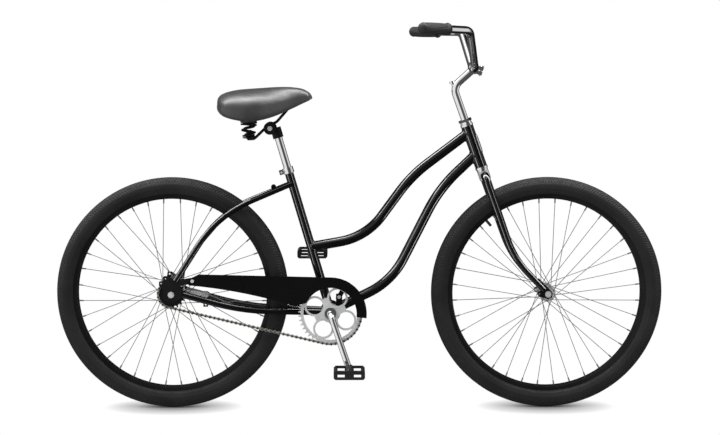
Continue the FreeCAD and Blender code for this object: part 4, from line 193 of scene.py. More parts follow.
@dataclass(frozen=True)
class Finish:
    """A procedural surface: two tones, a range of roughness and a fine relief.

    Args:
        dark: darker tone, as a linear colour.
        light: lighter tone.
        rough: lowest and highest roughness.
        metallic: 1 for bare metal.
        specular: level of the mirror part, 0.5 for common paint and plastic.
        coat: weight of a clear coat.
        coat_ior: its refractive index.
        blotch: how fine the drift of tone is, per metre.
        relief: kind of fine relief.
        fine: how fine the relief is, per metre.
        depth: depth of the relief in metres.
        wear: how much finer the drift of roughness is.
        noise_span: levels of a noise that give the two ends of a range.
        stretch: scale of brushed relief along each axis.
    """

    dark: Triple
    light: Triple
    rough: Pair
    metallic: float = 0.0
    specular: float = 0.5
    coat: float = 0.0
    coat_ior: float = 1.3
    blotch: float = 9.0
    relief: Relief = Relief.GRAIN
    fine: float = 500.0
    depth: float = 0.00002
    wear: float = 5.0
    noise_span: Pair = (0.3, 0.7)
    stretch: Triple = (1.0, 1.0, 0.06)

    def material(self, name: str) -> bpy.types.Material:
        """Gives the material of this finish and makes it at the first call.

        Args:
            name: name of the slot.

        Returns:
            The material.
        """
        title = "look_" + name
        made = bpy.data.materials.get(title)
        if made is not None:
            return made
        made = bpy.data.materials.new(title)
        tree = NodeTree(made)
        spot = tree.add("ShaderNodeTexCoord").outputs["Object"]
        low, high = self.noise_span
        drift = self.noise(tree, spot, self.blotch, 3.0)
        wear = self.noise(tree, spot, self.blotch * self.wear, 5.0)
        spread = tree.add("ShaderNodeMapRange", {
            "Value": wear,
            "From Min": low,
            "From Max": high,
            "To Min": self.rough[0],
            "To Max": self.rough[1],
        })
        height = self.height(tree, spot)
        bump = tree.add("ShaderNodeBump", {"Strength": 1.0, "Distance": self.depth, "Height": height})
        surface = tree.add("ShaderNodeBsdfPrincipled", {
            "Base Color": tree.ramp(drift, ((low, self.dark), (high, self.light))),
            "Roughness": spread.outputs["Result"],
            "Normal": bump.outputs["Normal"],
            "Metallic": self.metallic,
            "Specular IOR Level": self.specular,
            "Coat Weight": self.coat,
            "Coat IOR": self.coat_ior,
            "Coat Roughness": 0.0,
        })
        tree.add("ShaderNodeOutputMaterial", {"Surface": surface.outputs["BSDF"]})
        return made

    def noise(self, tree: NodeTree, spot: Socket, scale: float,
              detail: float) -> Socket:
        """Adds a noise.

        Args:
            tree: the material's tree.
            spot: coordinates.
            scale: how fine the noise is, per metre.
            detail: how many finer layers it has.

        Returns:
            Socket with the noise, from 0 to 1.
        """
        settings = {"Vector": spot, "Scale": scale, "Detail": detail}
        return tree.add("ShaderNodeTexNoise", settings).outputs["Fac"]

    def height(self, tree: NodeTree, spot: Socket) -> Socket:
        """Adds the relief.

        Args:
            tree: the material's tree.
            spot: object coordinates.

        Returns:
            Socket with the height, from 0 to 1.
        """
        if self.relief is Relief.PEBBLE:
            settings = {"Vector": spot, "Scale": self.fine}
            return tree.add("ShaderNodeTexVoronoi", settings, feature="SMOOTH_F1").outputs["Distance"]
        if self.relief is Relief.BRUSHED:
            settings = {"Vector": spot, "Scale": self.stretch}
            spot = tree.add("ShaderNodeMapping", settings).outputs["Vector"]
        return self.noise(tree, spot, self.fine, 2.0)


FINISHES: dict[Slot, Finish] = {
    Slot.FRAME_PAINT: Finish(
        (0.0025, 0.0025, 0.0027), (0.0042, 0.0042, 0.0044), (0.22, 0.3),
        specular=0.05, coat=1.0, coat_ior=1.32, fine=160.0, depth=0.00001,
    ),
    Slot.DROPOUT_PAINT: Finish(
        (0.005, 0.005, 0.0052), (0.01, 0.01, 0.0102), (0.34, 0.46), specular=0.12, fine=420.0,
    ),
    Slot.RIM_PAINT: Finish(
        (0.006, 0.006, 0.0062), (0.011, 0.011, 0.0113), (0.24, 0.34),
        specular=0.12, fine=200.0, depth=0.00001,
    ),
    Slot.BRIGHT_CHROME: Finish(
        (0.8, 0.81, 0.82), (0.88, 0.88, 0.89), (0.045, 0.085), metallic=1.0, fine=90.0, depth=0.000006,
    ),
    Slot.CHAINRING_STEEL: Finish(
        (0.66, 0.665, 0.67), (0.76, 0.765, 0.77), (0.3, 0.42),
        metallic=0.35, relief=Relief.BRUSHED, fine=900.0,
    ),
    Slot.PLAIN_STEEL: Finish(
        (0.6, 0.6, 0.61), (0.74, 0.74, 0.75), (0.22, 0.38), metallic=0.4, blotch=40.0, fine=700.0,
    ),
    Slot.SPOKE_STEEL: Finish(
        (0.2, 0.2, 0.205), (0.28, 0.28, 0.285), (0.26, 0.36), metallic=0.4, blotch=25.0, fine=900.0,
    ),
    Slot.CHAIN_STEEL: Finish(
        (0.2, 0.19, 0.172), (0.34, 0.325, 0.3), (0.26, 0.42), metallic=0.4, blotch=120.0, fine=900.0,
    ),
    Slot.TYRE_RUBBER: Finish(
        (0.013, 0.013, 0.0132), (0.02, 0.02, 0.0202), (0.56, 0.72),
        specular=0.15, blotch=14.0, fine=900.0, depth=0.00006,
    ),
    Slot.TUBE_RUBBER: Finish((0.02, 0.02, 0.02), (0.034, 0.034, 0.034), (0.5, 0.65), fine=600.0),
    Slot.GRIP_RUBBER: Finish(
        (0.017, 0.017, 0.0173), (0.026, 0.026, 0.0263), (0.5, 0.64),
        specular=0.2, blotch=30.0, relief=Relief.PEBBLE, fine=1400.0, depth=0.00008,
    ),
    Slot.PEDAL_PLASTIC: Finish(
        (0.009, 0.009, 0.0092), (0.018, 0.018, 0.0182), (0.34, 0.48),
        specular=0.3, blotch=30.0, relief=Relief.PEBBLE, fine=1500.0, depth=0.00006,
    ),
    Slot.SADDLE_VINYL: Finish(
        (0.044, 0.044, 0.0448), (0.06, 0.06, 0.0608), (0.36, 0.46),
        specular=0.42, blotch=12.0, relief=Relief.PEBBLE, fine=900.0, depth=0.00012,
    ),
}

OILED_PIN = Finish((0.012, 0.011, 0.01), (0.024, 0.022, 0.02), (0.3, 0.42), metallic=0.3, blotch=120.0)


def unit(vectors: Array) -> Array:
    """Scales vectors to length one.

    Args:
        vectors: array whose last axis holds the coordinates.

    Returns:
        The scaled vectors.
    """
    return vectors / np.linalg.norm(vectors, axis=-1, keepdims=True)


def smooth_step(values: Array, low: float, high: float) -> Array:
    """Eases from 0 at low to 1 at high.

    Args:
        values: numbers to ease.
        low: where the step starts.
        high: where it ends.

    Returns:
        Shares between 0 and 1.
    """
    share = np.clip((values - low) / (high - low), 0.0, 1.0)
    return share * share * (3.0 - 2.0 * share)


def joint_vector(name: str, key: str = "pos_m") -> Array:
    """Reads a vector of a joint.

    Args:
        name: name of the joint in the record.
        key: "pos_m" for its place in metres, "axis" for its direction.

    Returns:
        The vector.
    """
    found = next(joint for joint in frame["joints"] if joint["name"] == name)
    return np.array(found[key], dtype=float)


def turns(columns: int) -> Array:
    """Spreads angles evenly over a turn.

    Args:
        columns: how many angles.

    Returns:
        Angles in radians, the last one step short of a full turn.
    """
    return np.arange(columns) * FULL_TURN / columns


def turned(profile: Array, centre: Array, axis: Array, columns: int) -> Array:
    """Turns a profile about an axis.

    Args:
        profile: rows of distance along the axis and radius.
        centre: where the axis starts.
        axis: direction of the axis.
        columns: points around.

    Returns:
        Points as rows, columns and coordinates.
    """
    helper = UP if abs(axis[2]) < abs(axis[0]) + abs(axis[1]) else LEFT
    first = unit(np.cross(helper, axis))
    second = np.cross(axis, first)
    angles = turns(columns)[:, None]
    spokes = np.cos(angles) * first + np.sin(angles) * second
    along = profile[:, 0, None, None] * axis
    return centre + along + profile[:, 1, None, None] * spokes


def swept(path: Array, side: Array, radius: float, columns: int, closed: bool) -> Array:
    """Carries a circle along a path.

    Args:
        path: points of the path.
        side: a direction at each point that keeps the circle from twisting.
        radius: radius of the circle.
        columns: points around.
        closed: True when the path ends where it starts.

    Returns:
        Points as rows, columns and coordinates.
    """
    if closed:
        heading = unit(np.roll(path, -1, axis=0) - np.roll(path, 1, axis=0))
    else:
        heading = unit(np.gradient(path, axis=0))
    normal = unit(side - np.sum(side * heading, axis=1, keepdims=True) * heading)
    other = np.cross(heading, normal)
    angles = turns(columns)[None, :, None]
    return path[:, None] + radius * (np.cos(angles) * normal[:, None] + np.sin(angles) * other[:, None])


@dataclass(frozen=True)
class Grid:
    """A closed surface, or a set of equal ones, as rows and columns of points that join up around.

    Args:
        points: rows, columns and coordinates, with one more axis in front for a set.
        ring: True when the last row joins the first, False when a pole closes each end.
    """

    points: Array
    ring: bool = False

    def mesh(self, name: str) -> Mesh:
        """Makes the mesh, with its faces outward.

        Args:
            name: name of the mesh.

        Returns:
            The mesh.
        """
        rows, columns = self.points.shape[-3:-1]
        surfaces = self.points.reshape(-1, rows, columns, 3)
        count = len(surfaces)
        index = np.arange(count * rows * columns).reshape(count, rows, columns)
        lower = index if self.ring else index[:, :-1]
        upper = np.roll(index, -1, axis=1) if self.ring else index[:, 1:]
        corners = [lower, np.roll(lower, -1, axis=2), np.roll(upper, -1, axis=2), upper]
        faces = np.stack(corners, axis=-1).reshape(-1, 4).tolist()
        vertices = self.points.reshape(-1, 3)
        if not self.ring:
            poles = np.stack([surfaces[:, 0].mean(axis=1), surfaces[:, -1].mean(axis=1)], axis=1)
            start = np.repeat(len(vertices) + 2 * np.arange(count), columns)
            first = index[:, 0].ravel()
            first_next = np.roll(index[:, 0], -1, axis=1).ravel()
            last = index[:, -1].ravel()
            last_next = np.roll(index[:, -1], -1, axis=1).ravel()
            faces += np.stack([start, first_next, first], axis=-1).tolist()
            faces += np.stack([start + 1, last, last_next], axis=-1).tolist()
            vertices = np.concatenate([vertices, poles.reshape(-1, 3)])
        made = bpy.data.meshes.new(name)
        made.from_pydata(vertices.tolist(), [], faces)
        made.polygons.foreach_set("use_smooth", np.ones(len(made.polygons), dtype=bool))
        if signed_volume(made) < 0.0:
            made.flip_normals()
        made.update()
        return made


def signed_volume(mesh: Mesh) -> float:
    """Measures the volume of a closed mesh, below zero when its faces point inward.

    Args:
        mesh: the mesh.

    Returns:
        The volume in cubic metres.
    """
    mesh.calc_loop_triangles()
    corners = np.empty(3 * len(mesh.loop_triangles), dtype=np.int32)
    mesh.loop_triangles.foreach_get("vertices", corners)
    points = read_points(mesh)[corners].reshape(-1, 3, 3)
    return float(np.sum(points[:, 0] * np.cross(points[:, 1], points[:, 2])) / 6.0)


def read_points(mesh: Mesh) -> Array:
    """Reads a mesh's points.

    Args:
        mesh: the mesh.

    Returns:
        Points as rows of coordinates.
    """
    flat = np.empty(3 * len(mesh.vertices))
    mesh.vertices.foreach_get("co", flat)
    return flat.reshape(-1, 3)


def new_object(name: str, data: bpy.types.ID) -> bpy.types.Object:
    """Adds an object to the scene.

    Args:
        name: name of the object.
        data: its mesh, lamp or camera.

    Returns:
        The new object.
    """
    made = bpy.data.objects.new(name, data)
    bpy.context.scene.collection.objects.link(made)
    return made


def place(name: str, surface: Grid | Mesh, slot: Slot, body: Body, *replaced: str,
          own: Finish | None = None) -> bpy.types.Object:
    """Puts a piece into the scene.

    Args:
        name: name of the piece.
        surface: its grid, or its mesh.
        slot: its material slot.
        body: the body it rides on.
        replaced: built pieces that it stands in for.
        own: finish of its own, in place of its slot's finish.

    Returns:
        The new object.
    """
    mesh = surface.mesh(name) if isinstance(surface, Grid) else surface
    piece = new_object(name, mesh)
    mesh.materials.append(own.material(name) if own else FINISHES[slot].material(slot.value))
    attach(piece, body.value)
    if replaced:
        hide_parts(*replaced)
    LOG.info("%s has %d faces", name, len(mesh.polygons))
    return piece


class BuiltPieces:
    """The pieces that come from the construction and keep their form."""

    def dress(self) -> None:
        """Gives every built piece the finish of its slot."""
        for entry in frame["record"]["subparts"]:
            slot = Slot(entry["material_slot"])
            piece = frame["nodes"][entry["node"]]
            piece.data.materials.clear()
            piece.data.materials.append(FINISHES[slot].material(slot.value))


@dataclass(frozen=True)
class Tyre:
    """A tyre with leaning blocks cut into its crown and fine rings on its walls.

    Args:
        node: the built tyre that it stands in for.
        body: the wheel it rides on.
        joint: joint at the wheel's axle.
        ring: radius of the circle that the section's middle runs on.
        section: radius of the section.
        crown: where the blocks end; this and the other angles are in degrees from the crown's middle.
        wall_rings: place, width and height of each ring on the wall.
        middle_rib: shares of the crown over which the middle rib falls to the blocks.
        marks: columns of points on one block.
        cuts: how far each of them is cut.
        bead: bead of one side, as distances from the middle and from the axle.
    """

    node: str
    body: Body
    joint: str
    ring: float = 0.306
    section: float = 0.027
    wall: float = 0.003
    blocks: int = 250
    lanes: int = 5
    groove: float = 0.0011
    crown: float = 68.0
    crown_rows: int = 21
    edge: float = 141.0
    wall_angles: tuple[float, ...] = (
        74.0, 81.0, 89.0, 95.5, 97.0, 99.0, 100.5, 108.0, 115.0,
        120.5, 122.0, 124.0, 125.5, 131.0, 135.0, 137.0, 138.5,
    )
    wall_rings: tuple[Triple, ...] = (
        (98.0, 1.4, 0.0004), (123.0, 1.4, 0.0004), (137.5, 1.6, 0.0006),
    )
    lane_ease: float = 0.2
    middle_ease: float = 4.0
    shoulder: float = 0.96
    middle_rib: Pair = (0.04, 0.08)
    lane_depth: float = 0.9
    marks: tuple[float, ...] = (0.0, 0.12, 0.4, 0.52)
    cuts: tuple[float, ...] = (0.0, 1.0, 1.0, 0.0)
    lining: float = 146.0
    lining_rows: int = 9
    bead: tuple[Pair, ...] = (
        (0.0141, 0.2852), (0.0137, 0.2799), (0.0113, 0.2799), (0.0113, 0.2857),
    )

    def outer_angles(self) -> Array:
        """Spreads angles over the outside, in degrees from the crown, closer where the rings are.

        Returns:
            The angles from one edge to the other.
        """
        crown = np.linspace(0.0, self.crown, self.crown_rows)
        half = np.concatenate([crown, self.wall_angles, [self.edge]])
        return np.concatenate([-half[:0:-1], half])

    def rings(self, angles: Array) -> Array:
        """Raises the rings on the walls.

        Args:
            angles: degrees from the crown.

        Returns:
            Heights in metres.
        """
        middle, width, height = np.array(self.wall_rings).T
        away = (np.abs(angles)[:, None] - middle) / width
        return (height * np.exp(-(away ** 2))).sum(axis=1)

    def steps(self, angles: Array) -> Array:
        """Counts the lanes from the crown outward, with a short ease between two.

        Args:
            angles: degrees from the crown.

        Returns:
            Lane numbers.
        """
        share = np.abs(angles) / self.crown * self.lanes
        lanes = np.arange(1, self.lanes)
        past = share[:, None] - lanes[None, :]
        return smooth_step(past, -self.lane_ease, self.lane_ease).sum(axis=1)

    def shear(self, angles: Array) -> Array:
        """Sets each lane half a block on from the one before, and the two sides half a block apart.

        Args:
            angles: degrees from the crown.

        Returns:
            Shifts as shares of a block.
        """
        sides = smooth_step(angles, -self.middle_ease, self.middle_ease)
        return 0.5 * self.steps(angles) + 0.5 * sides

    def depths(self, angles: Array, cut: Array) -> Array:
        """Cuts the grooves.

        Args:
            angles: degrees from the crown, one for each row.
            cut: 1 in a cross groove and 0 on a block, one for each column.

        Returns:
            Depths in metres, rows by columns.
        """
        share = np.abs(angles) / self.crown
        inside = 1.0 - smooth_step(share, self.shoulder, 1.0)
        cross = smooth_step(share, *self.middle_rib) * inside
        steps = self.steps(angles)
        around = self.lane_depth * np.sin(math.pi * (steps - np.floor(steps))) * inside
        return self.groove * np.maximum(cross[:, None] * cut[None, :], around[:, None])

    def build(self) -> None:
        """Makes the tyre."""
        cut = np.tile(self.cuts, self.blocks)
        places = (np.arange(self.blocks)[:, None] + np.array(self.marks)).ravel()
        angles = self.outer_angles()
        radians = np.radians(angles)
        reach = self.section + self.rings(angles)[:, None] - self.depths(angles, cut)
        lateral = reach * np.sin(radians)[:, None]
        radial = self.ring + reach * np.cos(radians)[:, None]
        inner = np.radians(np.linspace(self.lining, -self.lining, self.lining_rows))
        thin = self.section - self.wall
        bead = np.array(self.bead)
        lining = np.stack([thin * np.sin(inner), self.ring + thin * np.cos(inner)], axis=-1)
        inside = np.concatenate([bead, lining, bead[::-1] * np.array([-1.0, 1.0])])
        lateral = np.concatenate([lateral, np.repeat(inside[:, :1], places.size, axis=1)])
        radial = np.concatenate([radial, np.repeat(inside[:, 1:], places.size, axis=1)])
        shift = self.shear(angles)
        back = np.linspace(shift[-1], shift[0], len(inside))
        turn = (places[None, :] + np.concatenate([shift, back])[:, None]) * FULL_TURN / self.blocks
        points = np.stack([radial * np.cos(turn), lateral, radial * np.sin(turn)], axis=-1)
        surface = Grid(points + joint_vector(self.joint), ring=True)
        place("treaded_" + self.node, surface, Slot.TYRE_RUBBER, self.body, self.node)


@dataclass(frozen=True)
class Grips:
    """Two rubber grips with a lip, long ribs and a rounded end.

    Args:
        shoulder: where the straight end of the bar starts, from the bar's centre, for the left side.
        tip: where it ends.
        lip: half width and height of the lip.
        body: where the body starts, and its length.
        waist: how far the body's ends lie below the radius, and how far its middle swells.
        end: where the rounded end starts, its length, and the power of its curve.
        poles: radii that close the bore and the end.
        rib_height: height of a rib, as a share of the radius.
    """

    shoulder: Triple = (-0.024, 0.185, 0.106)
    tip: Triple = (-0.164, 0.345, 0.11)
    depth: float = 0.114
    bore: float = 0.0112
    radius: float = 0.0152
    lip: Pair = (0.0022, 0.0024)
    lip_rows: int = 9
    body: Pair = (0.006, 0.097)
    body_rows: int = 50
    waist: Pair = (0.0003, 0.0007)
    end: Triple = (0.104, 0.0145, 0.75)
    end_rows: int = 14
    poles: Pair = (0.0005, 0.0003)
    ribs: int = 24
    rib_height: float = 0.024
    rib_start: Pair = (0.012, 0.016)
    rib_end: Pair = (0.092, 0.098)
    columns: int = 120

    def profile(self) -> Array:
        """Draws the grip from the floor of its bore to the middle of its end.

        Returns:
            Rows of distance from the inner end and radius.
        """
        bore = np.array([[self.depth, self.poles[0]], [self.depth, self.bore], [0.0, self.bore]])
        turn = np.linspace(0.0, math.pi, self.lip_rows)
        half, height = self.lip
        lip = np.stack([half - half * np.cos(turn), self.radius + height * np.sin(turn)], axis=-1)
        start, length = self.body
        drop, swell = self.waist
        share = np.linspace(0.0, 1.0, self.body_rows)
        width = self.radius - drop + swell * np.sin(share * math.pi)
        body = np.stack([start + length * share, width], axis=-1)
        start, length, power = self.end
        curve = np.linspace(0.0, 0.5 * math.pi, self.end_rows)[1:]
        rounding = self.poles[1] + self.radius * np.cos(curve) ** power
        end = np.stack([start + length * np.sin(curve), rounding], axis=-1)
        return np.concatenate([bore, lip, body, end])

    def build(self) -> None:
        """Makes both grips."""
        profile = self.profile()
        along = profile[:, 0]
        ribbed = smooth_step(along, *self.rib_start) * (1.0 - smooth_step(along, *self.rib_end))
        wave = self.rib_height * np.cos(self.ribs * turns(self.columns))
        for name, side in (("right_grip", -1.0), ("left_grip", 1.0)):
            mirror = np.array([1.0, side, 1.0])
            centre = joint_vector("bar_tilt")
            outer = centre + np.array(self.tip) * mirror
            axis = unit(outer - centre - np.array(self.shoulder) * mirror)
            start = outer - self.depth * axis
            points = turned(profile, start, axis, self.columns)
            middle = start + along[:, None, None] * axis
            swell = 1.0 + ribbed[:, None, None] * wave[None, :, None]
            surface = Grid(middle + (points - middle) * swell)
            place("ribbed_" + name, surface, Slot.GRIP_RUBBER, Body.HANDLEBAR, name)


@dataclass(frozen=True)
class Chain:
    """The drive chain with waisted side plates and pins, on its way round both sprockets.

    Args:
        pitch: distance between two rollers.
        links: how many links, inner and outer in turn.
        ring_teeth: teeth of the chainring.
        cog_teeth: teeth of the rear sprocket.
        line: how far the chain lies to the right of the frame's middle.
        plate: thickness of a side plate.
        waist: half its height in the middle.
        slope: share of half a link where the waist starts to widen.
        bevel: thickness of a plate's bevel, and size of its face, as shares of the plate.
        head: outer and inner radius of a pin's head, as shares of the pin, and its bevel.
    """

    pitch: float = 0.0127
    links: int = 104
    ring_teeth: int = 44
    cog_teeth: int = 19
    line: float = 0.044
    plate: float = 0.001
    inner_gap: float = 0.00165
    outer_gap: float = 0.00285
    end_radius: float = 0.0042
    waist: float = 0.0022
    roller: float = 0.00387
    pin: float = 0.0018
    pin_half: float = 0.00405
    slope: float = 0.1
    bevel: Pair = (0.15, 0.93)
    head: Triple = (0.9, 1.4, 0.0002)
    ring_steps: int = 600
    cog_steps: int = 300
    plate_columns: int = 36
    pin_columns: int = 20
    digits: int = 9

    def rollers(self) -> Array:
        """Places the rollers on the line round both sprockets.

        Returns:
            Their middles, one for each link.
        """
        ring = joint_vector("crank_spin")
        cog = joint_vector("rear_wheel_spin")
        across = ring - cog
        distance = math.hypot(across[0], across[2])
        ring_radius = 0.5 * self.pitch / math.sin(math.pi / self.ring_teeth)
        cog_radius = 0.5 * self.pitch / math.sin(math.pi / self.cog_teeth)
        lean = math.asin((ring_radius - cog_radius) / distance)
        heading = math.atan2(across[2], across[0])
        upper = heading + 0.5 * math.pi + lean
        lower = heading - 0.5 * math.pi - lean
        ring_wrap = (math.pi + 2.0 * lean) * self.ring_teeth / FULL_TURN
        cog_wrap = (math.pi - 2.0 * lean) * self.cog_teeth / FULL_TURN
        straight = distance * math.cos(lean) / self.pitch
        ring_turn = np.linspace(upper, lower, self.ring_steps)
        cog_turn = np.linspace(lower, upper - FULL_TURN, self.cog_steps)
        on_ring = ring[::2, None] + ring_radius * np.stack([np.cos(ring_turn), np.sin(ring_turn)])
        on_cog = cog[::2, None] + cog_radius * np.stack([np.cos(cog_turn), np.sin(cog_turn)])
        way = np.concatenate([on_ring, on_cog], axis=1)
        ring_marks = np.linspace(0.0, ring_wrap, self.ring_steps)
        cog_marks = ring_wrap + straight + np.linspace(0.0, cog_wrap, self.cog_steps)
        marks = np.concatenate([ring_marks, cog_marks])
        whole = ring_wrap + cog_wrap + 2.0 * straight
        travel = (0.5 * ring_wrap % 1.0 + np.arange(self.links)) % whole
        ahead, height = (np.interp(travel, marks, values, period=whole) for values in way)
        return np.stack([ahead, np.full(self.links, -self.line), height], axis=-1)

    def outline(self, columns: int) -> tuple[Array, Array]:
        """Draws a side plate.

        Args:
            columns: points around.

        Returns:
            Distances along the link and heights, from the middle of the plate.
        """
        half = 0.5 * self.pitch
        angle = turns(columns)
        along = (half + self.end_radius) * np.cos(angle)
        beyond = np.maximum(np.abs(along) - half, 0.0)
        end = np.sqrt(np.maximum(self.end_radius ** 2 - beyond ** 2, 0.0))
        widening = smooth_step(np.abs(along), self.slope * half, half)
        slim = self.waist + (self.end_radius - self.waist) * widening
        side = np.sign(np.round(np.sin(angle), self.digits))
        return along, np.where(np.abs(along) < half, slim, end) * side

    def build(self) -> None:
        """Makes the plates and the pins with their rollers."""
        start = self.rollers()
        run = np.roll(start, -1, axis=0) - start
        heading = unit(run)[:, None, None, None]
        above = np.cross(heading, LEFT)
        middle = (start + 0.5 * run)[:, None, None, None]
        along, height = self.outline(self.plate_columns)
        gap = np.where(np.arange(self.links) % 2 == 0, self.inner_gap, self.outer_gap)
        faces = np.stack([-gap - self.plate, gap], axis=-1)[:, :, None, None, None]
        edge, small = self.bevel
        across = faces + self.plate * np.array([0.0, edge, 1.0 - edge, 1.0])[:, None, None]
        bevel = np.array([small, 1.0, 1.0, small])[:, None]
        flat = (bevel * along)[..., None] * heading + (bevel * height)[..., None] * above
        plates = middle + flat + across * LEFT
        surface = Grid(plates.reshape(-1, *plates.shape[-3:]))
        place("chain_plates", surface, Slot.CHAIN_STEEL, Body.FRAME, "drive_chain")
        outer, inner, slant = self.head
        head = np.array([[self.pin_half, outer * self.pin], [self.pin_half - slant, inner * self.pin]])
        bush = np.array([[self.inner_gap, self.pin], [self.inner_gap, self.roller]])
        half = np.concatenate([head, bush])
        profile = np.concatenate([half * np.array([-1.0, 1.0]), half[::-1]])
        pins = turned(profile, np.zeros(3), LEFT, self.pin_columns)[None] + start[:, None, None]
        place("chain_pins", Grid(pins), Slot.CHAIN_STEEL, Body.FRAME, own=OILED_PIN)


@dataclass(frozen=True)
class Springs:
    """Two wound springs under the rear of the saddle.

    Args:
        seat: height of the wire's underside over the foot.
        keep: share of the height that is left when the saddle is down; not used.
    """

    seat: float = 0.0053
    wire: float = 0.005
    low_radius: float = 0.012
    growth: float = 0.007
    rise: float = 0.035
    winds: float = 3.0
    keep: float = 0.755
    steps: int = 220
    columns: int = 20

    def path(self, side: float) -> tuple[Array, Array]:
        """Runs along one spring.

        Args:
            side: 1 for the right spring, -1 for the left one.

        Returns:
            Points of the wire's middle, and a sideways direction at each.
        """
        share = np.linspace(0.0, 1.0, self.steps)
        angle = FULL_TURN * self.winds * share * side
        radius = self.low_radius + self.growth * np.sin(share * math.pi / 2.0)
        height = self.rise * (share - np.sin(FULL_TURN * share) / FULL_TURN)
        away = np.stack([np.cos(angle), np.sin(angle), np.zeros_like(angle)], axis=-1)
        middle = joint_vector("saddle_tilt") + SPRING_FOOT * np.array([1.0, side, 1.0])
        middle = middle + (self.seat + 0.5 * self.wire) * UP
        points = middle + radius[:, None] * away + height[:, None] * UP
        first = points[0] - self.wire * unit(points[1] - points[0])
        last = points[-1] + self.wire * unit(points[-1] - points[-2])
        points = np.concatenate([first[None], points, last[None]])
        away = np.concatenate([away[:1], away, away[-1:]])
        return points, away

    def build(self) -> None:
        """Makes both springs, each with a mesh of its own."""
        for name, side, replaced in (("right_coil", 1.0, ("saddle_springs",)), ("left_coil", -1.0, ())):
            points, away = self.path(side)
            tube = swept(points, away, 0.5 * self.wire, self.columns, closed=False)
            piece = place(name, Grid(tube), Slot.DROPOUT_PAINT, Body.SADDLE_FRAME, *replaced)
            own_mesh(piece)


@dataclass(frozen=True)
class Padding:
    """A short cloth simulation that swells the foam under a cover.

    Args:
        shrink: how far the cover starts inside its drawn form.
        cap: how far a point may move.
        pressure: push from inside.
        frames: length of the simulation.
        easing: how often the movement is evened out between neighbours.
    """

    shrink: float = 0.0015
    cap: float = 0.0045
    pressure: float = 4.0
    frames: int = 20
    easing: int = 24
    quality: int = 6
    least: float = 1e-9

    def eased(self, mesh: Mesh, move: Array) -> Array:
        """Evens a movement out between neighbouring points.

        Args:
            mesh: mesh whose edges tell the neighbours.
            move: one vector for each point.

        Returns:
            The evened vectors.
        """
        ends = np.empty(2 * len(mesh.edges), dtype=np.int32)
        mesh.edges.foreach_get("vertices", ends)
        first, second = ends.reshape(-1, 2).T
        neighbours = np.bincount(ends, minlength=len(move))[:, None]
        for _ in range(self.easing):
            total = np.zeros_like(move)
            np.add.at(total, first, move[second])
            np.add.at(total, second, move[first])
            move = 0.5 * move + 0.5 * total / neighbours
        return move

    def swell(self, mesh: Mesh, held: Array) -> None:
        """Swells a closed mesh in place.

        Args:
            mesh: the cover.
            held: True at the points that sit on a hard pan and stay.
        """
        scene = bpy.context.scene
        piece = new_object("swelling", mesh)
        normals = np.empty(3 * len(mesh.vertices))
        mesh.vertex_normals.foreach_get("vector", normals)
        begin = read_points(mesh) - self.shrink * normals.reshape(-1, 3)
        mesh.vertices.foreach_set("co", begin.ravel())
        mesh.update()
        pan = piece.vertex_groups.new(name="pan")
        pan.add(np.flatnonzero(held).tolist(), 1.0, "REPLACE")
        cloth = piece.modifiers.new("foam", "CLOTH")
        settings = cloth.settings
        settings.quality = self.quality
        settings.use_pressure = True
        settings.uniform_pressure_force = self.pressure
        settings.effector_weights.gravity = 0.0
        settings.vertex_group_mass = pan.name
        cloth.collision_settings.use_collision = False
        for moment in range(1, self.frames + 1):
            scene.frame_set(moment)
        shown = piece.evaluated_get(bpy.context.evaluated_depsgraph_get())
        move = read_points(shown.data) - begin
        length = np.linalg.norm(move, axis=1, keepdims=True)
        LOG.info("the cover swelled by up to %.1f mm", float(length.max()) / MILLIMETRE)
        kept = np.minimum(1.0, self.cap / np.maximum(length, self.least))
        settled = begin + self.eased(mesh, move * kept)
        bpy.data.objects.remove(piece)
        scene.frame_set(1)
        mesh.vertices.foreach_set("co", settled.ravel())
        mesh.update()


